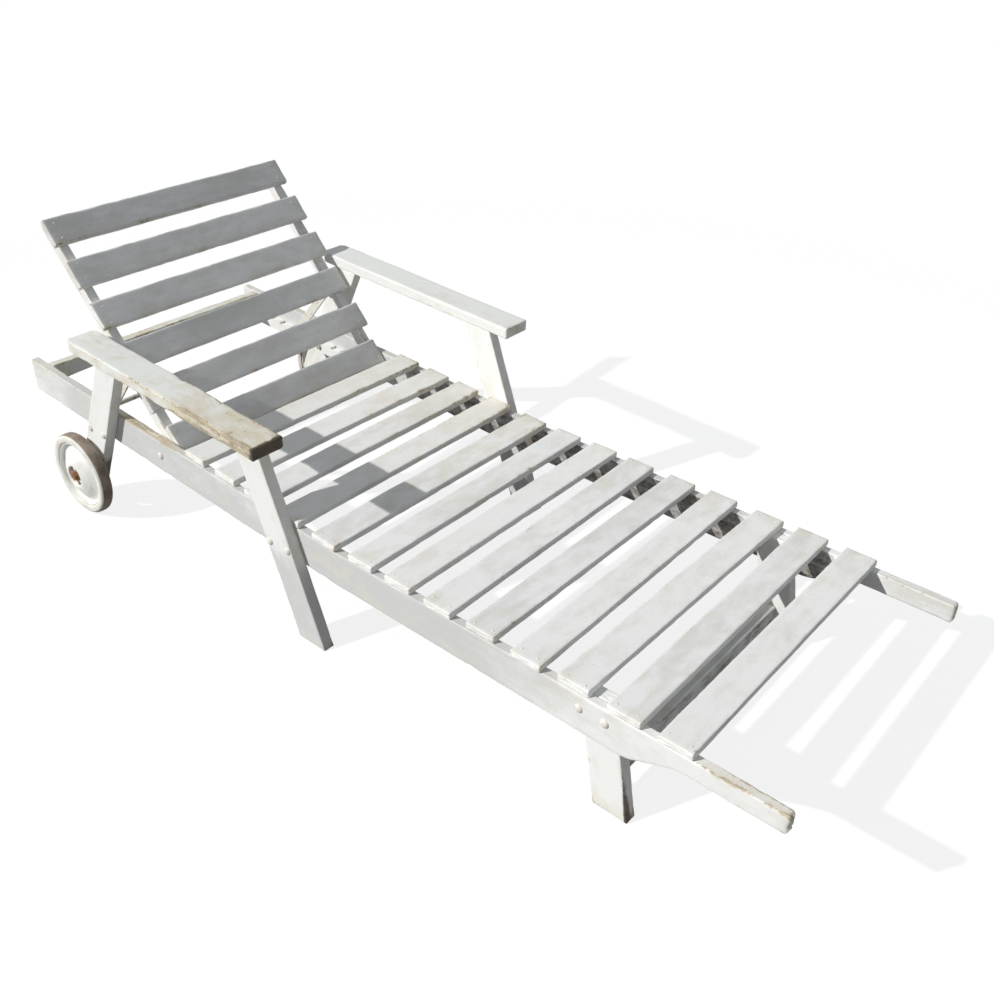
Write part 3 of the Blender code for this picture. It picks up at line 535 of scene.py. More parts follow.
def painted_wood(name, light, shaded, cream, cream_share, wear):
    """Weathered paint on wood, worn at the edges and bare where a mark says so, with painted shade where
    marks grey or darken it.
    """
    g = Graph(bpy.data.materials.new(name))
    place = g.mark("grain")
    edge, bare, dirt_and_shade, tone_and_shade = [g.mark(title) for title in ("edge", "bare", "dirt_and_shade", "tone_and_shade")]
    streak = g.noise(g.stretched(place, (6.0, 75.0, 75.0)), detail=5.0, rough=0.6)
    fibre = g.noise(g.stretched(place, (35.0, 900.0, 900.0)), rough=0.6)
    cloud = g.noise(g.stretched(place, (5.0, 11.0, 11.0)), detail=4.0)
    blot = g.noise(g.stretched(place, (24.0, 40.0, 40.0)), detail=5.0, rough=0.62)
    flake = g.noise(place, 150.0, detail=4.0, rough=0.65)
    speck = g.noise(place, 330.0, detail=1.0)

    # Paint, yellowed in places, with the grain showing through
    # Mottled between the pale and the grey paint colour; a high tone greys a surface as painted shade
    dullness_and_shade = g.total((cloud, 0.55), (streak, 0.15), (blot, 0.35), (tone_and_shade, 0.5), -0.30)
    colour = g.mix(g.ramp(dullness_and_shade, 0.30, 0.72), light, shaded)
    warm = g.total((blot, 0.8), (cloud, 0.4), (bare, 0.7), -0.1)
    colour = g.mix(g.math("MULTIPLY", g.ramp(warm, 0.45, 0.76), cream_share), colour, cream)
    lines = g.ramp(g.total((fibre, 0.6), (streak, 0.5)), 0.58, 0.78, 0.0, 0.20)
    colour = g.mix(lines, colour, g.mix(1.0, colour, GRAIN_TINT, "MULTIPLY"))

    # Bare wood where the paint is worn off, thin paint around it
    worn = g.total((edge, 0.37), (bare, 0.95), (blot, 0.9), (flake, 0.75), (streak, 0.35), wear - 1.0)
    mask = g.ramp(worn, 0.52, 0.66)
    thin = g.ramp(worn, 0.30, 0.60, 0.0, 0.45)
    wood = g.mix(g.ramp(g.total((streak, 0.6), (fibre, 0.5)), 0.40, 0.72), WOOD_LIGHT, WOOD_DARK)
    colour = g.mix(thin, colour, g.mix(1.0, colour, THIN_PAINT_TINT, "MULTIPLY"))
    colour = g.mix(g.math("MULTIPLY", mask, 0.85), colour, wood)

    # Grime and specks on top; the grime colour also stands for painted shade where a face is darkened as
    # shade
    stain = g.total((dirt_and_shade, 1.1), (blot, 0.7), (flake, 0.4), (streak, 0.5), -0.8)
    colour = g.mix(g.ramp(stain, 0.28, 0.75), colour, GRIME_AND_SHADE)
    dots = g.ramp(g.total((speck, 1.0), (flake, 0.25)), 0.86, 0.92, 0.0, 0.55)
    colour = g.mix(dots, colour, SPECK)
    rough = g.total((mask, 0.18), (blot, 0.22), 0.48)
    height = g.total((mask, -0.55), (fibre, 0.30), (streak, 0.30), (flake, 0.16), (dots, -0.5))
    return g.finish(colour, rough, height, 0.55, 0.0009)


def rusty_metal(name, paint, paint_share):
    """Rusted steel with what is left of its paint."""
    g = Graph(bpy.data.materials.new(name))
    place = g.mark("grain")
    coarse = g.noise(place, 130.0, detail=5.0, rough=0.65)
    fine = g.noise(place, 700.0)
    rust = g.mix(g.ramp(g.total((coarse, 0.7), (fine, 0.4)), 0.42, 0.66), RUST_DARK, RUST_LIGHT)
    left = g.ramp(g.total((coarse, 1.0), (fine, 0.25), paint_share - 0.62), 0.46, 0.58)
    colour = g.mix(left, rust, g.mix(g.ramp(fine, 0.4, 0.7), paint, STAINED_PAINT))
    rough = g.total((fine, 0.3), (left, -0.2), 0.62)
    return g.finish(colour, rough, g.total((coarse, 0.5), (fine, 0.5), (left, 0.3)), 0.5, 0.0006)


def wheel_enamel():
    """White enamel on pressed steel, stained by rust near the hub and along the rim."""
    g = Graph(bpy.data.materials.new("wheel_enamel"))
    place = g.mark("grain")
    reach = g.length(g.stretched(place, (1.0, 0.0, 1.0)))
    cloud = g.noise(place, 28.0, detail=5.0, rough=0.62)
    fine = g.noise(place, 240.0, detail=4.0, rough=0.65)
    colour = g.mix(g.ramp(cloud, 0.40, 0.68), (0.90, 0.90, 0.87), (0.76, 0.75, 0.70))
    centre = g.ramp(reach, 0.036, 0.020)
    rim = g.ramp(reach, 0.0665, 0.074)
    stain = g.total((centre, 0.62), (rim, 0.16), (cloud, 0.75), (fine, 0.45), -0.62)
    colour = g.mix(g.ramp(stain, 0.34, 0.66, 0.0, 0.75), colour, (0.66, 0.52, 0.36))
    rust = g.ramp(stain, 0.56, 0.74)
    colour = g.mix(rust, colour, (0.25, 0.13, 0.07))
    rough = g.total((rust, 0.35), (cloud, 0.15), 0.30)
    return g.finish(colour, rough, g.total((rust, 0.5), (fine, 0.3), (cloud, 0.3)), 0.35, 0.0006)


def old_rubber():
    """Aged rubber whose side was painted cream and whose tread is brown."""
    g = Graph(bpy.data.materials.new("rubber"))
    place = g.mark("grain")
    side = g.mark("side")
    cloud = g.noise(place, 32.0, detail=5.0, rough=0.6)
    fine = g.noise(place, 300.0, detail=4.0, rough=0.65)
    rubber = g.mix(g.ramp(cloud, 0.38, 0.66), (0.36, 0.29, 0.24), (0.20, 0.16, 0.13))
    faded = g.ramp(g.total((cloud, 0.7), (fine, 0.3)), 0.40, 0.68)
    paint = g.mix(faded, (0.84, 0.83, 0.78), (0.68, 0.64, 0.55))
    left = g.ramp(g.total((side, 1.0), (cloud, 0.30), (fine, 0.30), -0.3), 0.42, 0.56)
    colour = g.mix(left, rubber, paint)
    rough = g.total((fine, 0.15), (left, -0.08), 0.72)
    return g.finish(colour, rough, g.total((fine, 0.6), (left, 0.25), (cloud, 0.3)), 0.5, 0.0008)


MATERIALS = {
    "white_paint": painted_wood("white_paint", light=(0.90, 0.90, 0.885), shaded=(0.62, 0.63, 0.625),
                                cream=(0.78, 0.72, 0.60), cream_share=0.5, wear=0.0),
    "worn_paint": painted_wood("worn_paint", light=(0.85, 0.86, 0.83), shaded=(0.66, 0.65, 0.59),
                               cream=(0.66, 0.59, 0.44), cream_share=0.7, wear=0.06),
    "rusty_steel": rusty_metal("rusty_steel", (0.70, 0.69, 0.64), 0.20),
    "painted_bolts": rusty_metal("painted_bolts", (0.82, 0.81, 0.77), 0.66),
    "wheel_enamel": wheel_enamel(),
    "rubber": old_rubber(),
}


# Turned pieces
def softened(profile, radius, closed):
    """Rounds the corners of a profile of (radius, along, hexagonal) points."""
    flat = [(point[0], point[1], len(point) > 2) for point in profile]
    count = len(flat)
    result = []
    for index, (reach, along, hexagonal) in enumerate(flat):
        if not closed and index in (0, count - 1):
            result.append(flat[index])
            continue
        here = Vector((reach, along))
        sides = []
        for other in (flat[index - 1], flat[(index + 1) % count]):
            away = Vector(other[:2]) - here
            sides.append(away.normalized() * min(radius, away.length * 0.4))
        for share in (0.0, 0.5, 1.0):
            point = here + sides[0] * (1 - share) ** 2 + sides[1] * share ** 2
            result.append((point.x, point.y, hexagonal))
    return result


def turned_mesh(profile, place, sign, sides, closed, rng, wobble):
    """Points and faces of a profile turned about an axis along Y."""
    angles = np.linspace(0, 2 * math.pi, sides, endpoint=False)
    from_flat = (angles + math.pi / 6) % (math.pi / 3) - math.pi / 6
    points, starts, sizes = [], [], []
    for reach, along, hexagonal in profile:
        starts.append(len(points))
        if reach < 1e-7:
            points.append((place[0], along * sign, place[2]))
            sizes.append(1)
            continue
        radii = reach / np.cos(from_flat) if hexagonal else np.full(sides, reach)
        radii = radii - wobble * rng.uniform(0, 1, sides)
        for angle, radius in zip(angles, radii):
            x = place[0] + radius * math.cos(angle)
            points.append((x, along * sign, place[2] + radius * math.sin(angle)))
        sizes.append(sides)
    faces = []
    for first in range(len(profile) if closed else len(profile) - 1):
        second = (first + 1) % len(profile)
        for side in range(sides):
            after = (side + 1) % sides
            spots = ((first, side), (first, after), (second, after), (second, side))
            corners = dict.fromkeys(starts[ring] + step % sizes[ring] for ring, step in spots)
            faces.append(tuple(corners)[::sign])
    return points, faces


def add_turned(name, shapes, sign, slot, body, nodes=(), seed=0, wobble=0.0, side_mark=None):
    """One object of several turned shapes: (profile, place, sides, softening).

    A profile that starts on the axis makes a solid piece, any other one a ring.
    """
    rng = np.random.default_rng(seed)
    points, faces = [], []
    for profile, place, sides, softening in shapes:
        closed = profile[0][0] > 0
        smooth = softened(profile, softening, closed)
        area = sum(a[0] * b[1] - b[0] * a[1] for a, b in zip(smooth, smooth[1:] + smooth[:1]))
        new_points, new_faces = turned_mesh(smooth, place, sign, sides, closed, rng, wobble)
        if area > 0:
            new_faces = [face[::-1] for face in new_faces]
        faces += [tuple(corner + len(points) for corner in face) for face in new_faces]
        points += new_points
    points = np.array(points)
    centre = np.array([AXLE.x, 0, AXLE.z]) if body.startswith("wheel") else rng.uniform(-9, 9, 3)
    marks = {"grain": points - centre}
    if side_mark:
        marks["side"] = side_mark(points - centre)
    return add_mesh(name, points, faces, marks, slot, body, nodes)


def bolt_profile(head_seat, nut_seat):
    """A carriage bolt with its nut: domed head outside, hexagonal nut inside."""
    rim = BOLT_HEAD_RADIUS
    sunk = head_seat - BOLT_HEAD_SINK
    nut_end = nut_seat - NUT_THICKNESS
    dome = ((0, 1), (0.45, 0.93), (0.80, 0.62), (1, 0.15))
    points = [(rim * out, head_seat + BOLT_HEAD_HEIGHT * up) for out, up in dome]
    points += [(rim, sunk), (BOLT_RADIUS, sunk), (BOLT_RADIUS, nut_seat)]
    points += [(NUT_FLATS / 2, nut_seat, True), (NUT_FLATS / 2, nut_end, True)]
    return points + [(BOLT_RADIUS, nut_end), (BOLT_RADIUS, nut_end - BOLT_TIP), (0, nut_end - BOLT_TIP)]


def nail_heads(name, places, normal, body, seed):
    """Slightly domed nail heads, each a little sunk and out of round."""
    rng = np.random.default_rng(seed)
    up = Vector(normal).normalized()
    side = up.orthogonal().normalized()
    other = up.cross(side)
    points, faces = [], []
    for place in places:
        base = len(points)
        size = NAIL_RADIUS * rng.uniform(0.85, 1.15)
        for share, rise in NAIL_RINGS:
            for step in range(NAIL_SIDES):
                angle = 2 * math.pi * step / NAIL_SIDES
                reach = size * share * rng.uniform(0.96, 1.04)
                points.append(place + up * rise + (side * math.cos(angle) + other * math.sin(angle)) * reach)
        points += [place + up * NAIL_TOP, place - up * NAIL_BOTTOM]
        for ring in range(len(NAIL_RINGS) - 1):
            low = base + ring * NAIL_SIDES
            faces += band(low, low + NAIL_SIDES, NAIL_SIDES)
        last = base + (len(NAIL_RINGS) - 1) * NAIL_SIDES
        top = base + len(NAIL_RINGS) * NAIL_SIDES
        for step in range(NAIL_SIDES):
            after = (step + 1) % NAIL_SIDES
            faces.append((last + step, last + after, top))
            faces.append((base + after, base + step, top + 1))
    points = np.array([tuple(point) for point in points])
    marks = {"grain": points + rng.uniform(-9, 9, 3)}
    add_mesh(name, points, faces, marks, "painted_bolts", body, ())


# Fixed frame
def build_rails():
    """Two rails, painted outside and worn to wood on their tops and handles."""
    for side, sign in SIDES:
        near = sign < 0

        def paint(x, z, y):
            top = at_edge(z, rail_top(x))
            handle = step_up(x, FOOT_X - 0.21, FOOT_X - 0.09)
            head_top = step_up(z, rail_top(x) - 0.003, rail_top(x) - 0.001) * step_up(-x, 0.36, 0.46)
            end = step_up(x, FOOT_X - 0.015, FOOT_X)
            low_edge = step_up(-z, -rail_bottom(x) - 0.003, -rail_bottom(x))
            # The inner face along the seat is darkened as painted shade
            inside = step_up(-np.abs(y), -RAIL_INNER - 0.002, -RAIL_INNER)
            inside = inside * step_up(x, -0.42, -0.30) * step_up(-x, 0.19 - FOOT_X, 0.25 - FOOT_X)
            worn_top = top * step_up(x, -0.66, -0.60) * step_up(-x, 0.41, 0.47) * (0.50 if near else 0.1)
            chipped = (0.08 + 0.26 * top) * handle * (1.0 if near else 0.2)
            bare = chipped + 0.12 * head_top + worn_top + 0.22 * low_edge + 0.20 * end
            return bare, 0.12 * end + 0.50 * inside

        def tone_and_shade(x):
            return 0.98 - 0.55 * step_up(x, 0.30, 0.70) - 0.45 * step_up(-x, 0.75, 0.95)

        add_board("rail_board_" + side, (HEAD_X, FOOT_X), lambda x: (rail_bottom(x), rail_top(x)),
                  side_bounds(sign, RAIL_INNER, HALF_WIDTH), ALONG_X, "side_rail_" + side,
                  ease=0.006, radius=0.0022, chip_rate=8, chip_depth=0.003,
                  end_wear=0.0035 if near else 0.0012, paint=paint, seed=11 + sign, tone_and_shade=tone_and_shade)


def build_seat():
    """Thirteen slats, each laid a little unevenly on the rails, with two nails at each end."""
    nails = []
    reach = SLAT_WIDTH / 2
    for number, (near, far, out_near, out_far) in enumerate(SLAT_SHIFTS):
        x = LAST_SLAT_X - SLAT_PITCH * (len(SLAT_SHIFTS) - 1 - number)
        slope = CRANK_ANGLE if x < CRANK_X else 0.0
        height = max(rail_top(end) + (end - x) * math.tan(slope) for end in (x - reach, x + reach)) + FIT_GAP
        low_y = -HALF_WIDTH - out_near / 1000
        high_y = HALF_WIDTH + out_far / 1000
        skew = (far - near) / 1000 / (2 * HALF_WIDTH)
        shift = (far + near) / 2000
        turn = Matrix.Translation((x, 0, height)) @ Matrix.Rotation(slope, 4, "Y")
        rng = np.random.default_rng(200 + number)
        narrow = rng.uniform(0, 0.0012)

        def limits(y):
            middle = shift + skew * y
            return middle - reach + narrow, middle + reach

        def paint(y, across, z):
            end = step_up(np.abs(y), HALF_WIDTH - 0.05, HALF_WIDTH)
            off_nail = (np.abs(y) - SEAT_NAIL_Y) ** 2 + (np.abs(across) - SEAT_NAIL_X) ** 2
            nail = np.exp(-off_nail / 0.008 ** 2)
            aged = 0.24 * (number < 5) * step_up(y, -0.20, 0.28)
            return 0.10 * end + 0.10 * nail + aged, 0.10 * nail + 0.5 * aged

        add_board("seat_board_%02d" % (number + 1), (low_y, high_y), limits, (0.0, SLAT_THICKNESS),
                  ALONG_Y, "seat_slat_%02d" % (number + 1), turn, ease=0.0022, radius=0.0024,
                  chip_rate=4, chip_depth=0.0026, end_wear=0.0013, paint=paint, seed=40 + number,
                  tone_and_shade=0.14 + 0.14 * (number % 3))
        for y in (-SEAT_NAIL_Y, SEAT_NAIL_Y):
            for across in (-SEAT_NAIL_X, SEAT_NAIL_X):
                across += shift + skew * y + rng.uniform(-NAIL_SCATTER, NAIL_SCATTER)
                spot = Vector((across, y + rng.uniform(-0.002, 0.002), SLAT_THICKNESS))
                nails.append(turn @ spot)
    nail_heads("seat_nails", nails, (0, 0, 1), "frame", seed=3)


def build_cross_members():
    """Head crossbar with its arched lower edge, and the stretcher between the foot legs."""
    half = RAIL_INNER - FIT_GAP
    top = float(rail_top(CROSSBAR_FRONT))

    def arched(y):
        return top - CROSSBAR_DEPTH + CROSSBAR_ARCH * (1 - (y / half) ** 2), top

    # Darker towards the lower edge of the bar: painted shade
    def bar_paint(y, x, z):
        return 0.12 * at_edge(z, top) + 0.05, 0.3 * step_up(-z, 0.02 - top, 0.045 - top)

    add_board("head_crossbar_board", (-half, half), (CROSSBAR_BACK, CROSSBAR_FRONT), arched, ALONG_Y,
              "head_crossbar", slot="worn_paint", radius=0.0025, chip_rate=7, paint=bar_paint, seed=71)
    middle = leg_middle(FOOT_LEG, STRETCHER_HEIGHT) - STRETCHER_SETBACK
    across = (middle - STRETCHER_THICKNESS / 2, middle + STRETCHER_THICKNESS / 2)
    through = (STRETCHER_HEIGHT - STRETCHER_DEPTH / 2, STRETCHER_HEIGHT + STRETCHER_DEPTH / 2)
    reach = FOOT_LEG_INNER - FIT_GAP

    # All but the top of the stretcher is darkened as painted shade
    def stretcher_paint(y, x, z):
        return 0.05, 0.42 - 0.40 * step_up(z, 0.083, 0.087)

    add_board("foot_stretcher_board", (-reach, reach), across, through, ALONG_Y, "foot_stretcher",
              radius=0.002, chip_rate=6, paint=stretcher_paint, seed=72)


def build_legs():
    """Six legs, worn at their feet and stained on their front edges."""

    def straight(leg):
        return lambda z: (leg_middle(leg, z) - leg_half(leg), leg_middle(leg, z) + leg_half(leg))

    def front_paint(z, x, y):
        foot = step_up(-z, -0.03, 0.0)
        front = at_edge(x - leg_middle(FRONT_LEG, z), leg_half(FRONT_LEG))
        return 0.25 * foot + 0.08 * front, 0.22 * foot + 0.20 * front * step_up(-z, -0.25, -0.05)

    def rear_paint(z, x, y):
        front = at_edge(x, rear_leg_limits(z)[1])
        # Darker towards the bottom, most at the front edge
        near_ground = step_up(-z, -0.19, -0.10)
        return 0.10 * front + 0.15 * near_ground, 0.62 * near_ground * front + 0.30 * near_ground

    def foot_paint(z, x, y):
        front = at_edge(x - leg_middle(FOOT_LEG, z), leg_half(FOOT_LEG))
        foot = step_up(-z, -0.05, 0.0)
        stain = step_up(-z, -0.15, -0.02) * front * step_up(np.abs(y), 0.288, 0.300)
        return 0.35 * foot + 0.1 * front, 0.95 * stain + 0.2 * foot

    top_slope = -math.tan(ARMREST_TILT)
    for side, sign in SIDES:
        leg_y = side_bounds(sign, LEG_INNER, LEG_OUTER)
        foot_y = side_bounds(sign, FOOT_LEG_INNER, FOOT_LEG_OUTER)
        # The front legs' tone greys their lower part as painted shade
        add_board("front_leg_board_" + side, (0.0, leg_top(FRONT_LEG, 0.42)), straight(FRONT_LEG), leg_y,
                  ALONG_Z, "front_leg_" + side, lean=-FRONT_LEG["lean"],
                  top_slope=top_slope, radius=0.0022, chip_rate=6, chip_depth=0.003, end_wear=0.0015,
                  paint=front_paint, seed=81 + sign, tone_and_shade=lambda z: 0.95 * step_up(-z, -0.28, -0.14))
        add_board("rear_leg_board_" + side, (AXLE.z - REAR_LEG["width"] / 2, leg_top(REAR_LEG, 0.44)),
                  rear_leg_limits, leg_y, ALONG_Z, "rear_leg_" + side, lean=-REAR_LEG["lean"],
                  top_slope=top_slope, radius=0.0022, ease=0.0015, paint=rear_paint, seed=84 + sign,
                  tone_and_shade=0.0)
        add_board("foot_leg_board_" + side, (0.0, RAIL_TOP), straight(FOOT_LEG), foot_y, ALONG_Z,
                  "foot_leg_" + side, lean=-FOOT_LEG["lean"], radius=0.0022, chip_rate=6,
                  chip_depth=0.003, end_wear=0.0015, paint=foot_paint, seed=87 + sign, tone_and_shade=0.0)


def build_leg_bolts():
    """The two carriage bolts and nuts of each leg."""
    rows = (
        ("front_leg_bolts", FRONT_LEG, LEG_OUTER, RAIL_INNER - FIT_GAP, 15),
        ("rear_leg_bolts", REAR_LEG, LEG_OUTER, REAR_NUT_SEAT, 14),
        ("foot_leg_bolts", FOOT_LEG, HALF_WIDTH + FIT_GAP, FOOT_LEG_INNER, 14),
    )
    for side, sign in SIDES:
        for name, leg, head_seat, nut_seat, seed in rows:
            height = float(rail_top(leg_middle(leg, RAIL_MIDDLE))) - leg["bolt_drop"]
            middle = leg_middle(leg, height)
            profile = bolt_profile(head_seat, nut_seat)
            shapes = [(profile, (x, 0, height), 36, 0.0006)
                      for x in (middle - BOLT_OFFSET, middle + BOLT_OFFSET)]
            add_turned("%s_%s" % (name, side), shapes, sign, "painted_bolts", "frame", seed=seed + sign)


def build_armrests():
    """Two plank armrests, whitish at the rear, the near one worn to brown wood at its front."""
    turn = Matrix.Translation(ARMREST_FRONT) @ Matrix.Rotation(ARMREST_TILT, 4, "Y")
    for side, sign in SIDES:
        worn = 1.0 if side == "near" else 0.35

        def limits(x):
            gap = np.clip(ARMREST_CORNER - (x + ARMREST_LENGTH), 0, ARMREST_CORNER)
            cut = ARMREST_CORNER - np.sqrt(ARMREST_CORNER ** 2 - gap ** 2)
            cut = np.minimum(cut, ARMREST_WIDTH / 2 - 0.006)
            edges = (sign * (ARMREST_INNER + cut), sign * (ARMREST_OUTER - cut))
            return np.minimum(*edges), np.maximum(*edges)

        def paint(x, y, z):
            forward = step_up(x, -0.45, -0.05)
            front = step_up(x, -0.012, -0.001)
            outside = at_edge(np.abs(y), ARMREST_OUTER)
            bare = 0.25 * (worn - 1) + worn * (-0.05 + 0.36 * forward + 0.25 * front + 0.15 * outside)
            olive = forward * step_up(worn, 0.5, 1.0)
            return bare, worn * (0.70 * front) + 0.17 * olive + 0.12 * olive * outside

        add_board("armrest_board_" + side, (-ARMREST_LENGTH, 0.0), limits, (-ARMREST_THICKNESS, 0.0),
                  ALONG_X_FLAT, "armrest_" + side, turn, slot="worn_paint", ease=0.0025, radius=0.003,
                  chip_rate=8, chip_depth=0.003, end_wear=0.0016, paint=paint, seed=91 + sign)


# Folding back and prop
def build_back():
    """Stiles and slats of the back, leaning at its resting angle."""
    turn = Matrix.Translation(HINGE) @ Matrix.Rotation(BACK_ANGLE, 4, "Y")
    half = STILE_DEPTH / 2

    def stile_limits(x):
        drop = STILE_TOP - STILE_DEPTH + np.sqrt(np.maximum(half ** 2 - x ** 2, 3e-6))
        return STILE_TOP - STILE_DEPTH - drop * (np.abs(x) < half), STILE_TOP

    # The front face, and the far stile away from its outer face, are darkened as painted shade
    def stile_paint(x, z, y):
        front = step_up(z, STILE_TOP - 0.003, STILE_TOP - 0.001)
        outside = step_up(np.abs(y), STILE_OUTER - 0.003, STILE_OUTER)
        return 0.12 * outside, 0.16 * front + 0.14 * step_up(y * (1 - outside), 0.27, 0.29)

    for side, sign in SIDES:
        add_board("stile_board_" + side, (-BACK_LENGTH, half), stile_limits,
                  side_bounds(sign, STILE_INNER, STILE_OUTER), ALONG_X, "back_stile_" + side, turn,
                  body="backrest", ease=0.0012, chip_rate=6, paint=stile_paint, seed=101 + sign)
    top = BACK_LENGTH - SLAT_WIDTH / 2
    nails = []
    for number in range(BACK_SLATS):
        up = top - BACK_SLAT_PITCH * number
        rng = np.random.default_rng(300 + number)
        slat_turn = turn @ Matrix.Translation((-up, 0, BACK_SLAT_BOTTOM))
        reach = STILE_OUTER if number == BACK_SLATS - 1 else BACK_SLAT_REACH
        skew = rng.uniform(-0.0015, 0.0015) / reach if number else 0.0
        trim = 0.0 if number else TOP_SLAT_TRIM

        def limits(y):
            middle = skew * y
            return middle + trim - SLAT_WIDTH / 2, middle + SLAT_WIDTH / 2

        def paint(y, across, z):
            lower = step_up(across, 0.014, SLAT_WIDTH / 2)
            end = step_up(np.abs(y), reach - 0.03, reach)
            return 0.10 * lower + 0.10 * end, 0.14 * lower

        # The back slats' high tone greys them as painted shade
        add_board("back_board_%d" % (number + 1), (-reach, reach), limits, (0.0, SLAT_THICKNESS),
                  ALONG_Y, "back_slat_%d" % (number + 1), slat_turn, body="backrest", ease=0.0022,
                  radius=0.0030, chip_rate=4, end_wear=0.0012, paint=paint, seed=110 + number,
                  tone_and_shade=0.57)
        for y in (-BACK_NAIL_Y, BACK_NAIL_Y):
            for across in (-BACK_NAIL_X, BACK_NAIL_X):
                across += rng.uniform(-NAIL_SCATTER, NAIL_SCATTER)
                nails.append(slat_turn @ Vector((across, y, SLAT_THICKNESS)))
    normal = turn.to_3x3() @ Vector((0, 0, 1))
    nail_heads("back_nails", nails, normal, "backrest", seed=5)
    return turn


def build_prop(turn):
    """Prop arms and the round bar that rests on the racks."""
    swing = turn @ Matrix.Translation(PROP_PIVOT) @ Matrix.Rotation(-PROP_FOLD, 4, "Y")
    half = PROP_ARM_DEPTH / 2

    def limits(x):
        past = np.maximum(np.clip(x, 0, half), np.clip(-PROP_LENGTH - x, 0, half))
        reach = np.sqrt(np.maximum(half ** 2 - past ** 2, 3e-6))
        return -reach, reach

    for side, sign in SIDES:
        add_board("prop_board_" + side, (-PROP_LENGTH - half, half), limits,
                  side_bounds(sign, PROP_ARM_INNER, PROP_ARM_OUTER), ALONG_X, "prop_arm_" + side, swing,
                  slot="painted_bolts", body="prop", ease=0.0008, radius=0.0008, chip_rate=0,
                  seed=121 + sign)
    reach = RAIL_INNER - PROP_BAR_GAP
    middle = swing @ Vector((-PROP_LENGTH, 0, 0))
    rod = [(0, reach), (PROP_BAR_RADIUS, reach), (PROP_BAR_RADIUS, -reach), (0, -reach)]
    add_turned("prop_bar_rod", [(rod, middle, 36, 0.0008)], 1, "painted_bolts", "prop",
               ["prop_bar"], seed=125, wobble=0.0001)


# Wheels
def build_wheels():
    """Solid tyres with painted sides, slotted discs with a backing ring, and hub tubes."""
    tyre = [
        (TYRE_BORE, TYRE_INNER_FACE + 0.002), (TYRE_BORE + 0.004, TYRE_INNER_FACE),
        (WHEEL_RADIUS - 0.006, TYRE_INNER_FACE), (WHEEL_RADIUS - 0.001, TYRE_INNER_FACE + 0.005),
        (WHEEL_RADIUS, TYRE_INNER_FACE + 0.011), (WHEEL_RADIUS, TYRE_OUTER_FACE - 0.011),
        (WHEEL_RADIUS - 0.001, TYRE_OUTER_FACE - 0.005), (WHEEL_RADIUS - 0.006, TYRE_OUTER_FACE),
        (TYRE_BORE + 0.005, TYRE_OUTER_FACE), (TYRE_BORE, TYRE_OUTER_FACE - 0.002),
    ]
    rim = TYRE_BORE - FIT_GAP
    hole = HUB_RADIUS + FIT_GAP
    disc = [
        (rim, TYRE_OUTER_FACE - 0.003), (rim - 0.0024, TYRE_OUTER_FACE - 0.003),
        (rim - 0.0030, DISC_WEB + 0.002), (rim - 0.0075, DISC_WEB), (0.062, DISC_WEB + 0.0045),
        (0.048, DISC_WEB + 0.0140), (0.036, DISC_WEB + 0.0195), (0.027, DISC_DOME),
        (0.0245, DISC_DOME - 0.0010), (0.022, DISC_DOME - 0.005), (hole, DISC_DOME - 0.005),
        (hole, DISC_DOME - 0.007), (0.0225, DISC_DOME - 0.007), (0.036, DISC_WEB + 0.0165),
        (0.048, DISC_WEB + 0.0110), (0.062, DISC_WEB + 0.0015), (rim - 0.0075, DISC_WEB - 0.002),
        (rim - 0.0030, DISC_WEB - 0.004), (rim - 0.0030, TYRE_INNER_FACE + 0.003),
        (rim, TYRE_INNER_FACE + 0.003),
    ]
    backing = [(hole, DISC_DOME - 0.0165), (0.026, DISC_DOME - 0.0165),
               (0.026, DISC_DOME - 0.0175), (hole, DISC_DOME - 0.0175)]
    hub = [(HUB_BORE, HUB_INNER_END), (HUB_RADIUS, HUB_INNER_END),
           (HUB_RADIUS, HUB_OUTER_END), (HUB_BORE, HUB_OUTER_END)]

    def tyre_side(points):
        radius = np.hypot(points[:, 0], points[:, 2])
        outer = step_up(np.abs(points[:, 1]), TYRE_OUTER_FACE - 0.006, TYRE_OUTER_FACE - 0.001)
        inner = step_up(-np.abs(points[:, 1]), -TYRE_INNER_FACE - 0.005, -TYRE_INNER_FACE - 0.001)
        return np.where(radius > TYRE_BORE - 0.001, np.maximum(outer, 0.5 * inner), 0.0)

    for side, sign in SIDES:
        body = "wheel_" + side
        add_turned("tyre_ring_" + side, [(tyre, AXLE, 96, 0.0018)], sign, "rubber", body,
                   ["tyre_" + side], seed=131 + sign, wobble=0.00012, side_mark=tyre_side)
        shapes = [(disc, AXLE, 96, 0.0016), (backing, AXLE, 48, 0.0003)]
        piece = add_turned("wheel_dish_" + side, shapes, sign, "wheel_enamel", body,
                           ["wheel_disc_" + side], seed=134 + sign)
        cut_dish_slots(piece, sign)
        add_turned("hub_tube_" + side, [(hub, AXLE, 48, 0.0006)], sign, "rusty_steel", body,
                   ["wheel_hub_" + side], seed=137 + sign)


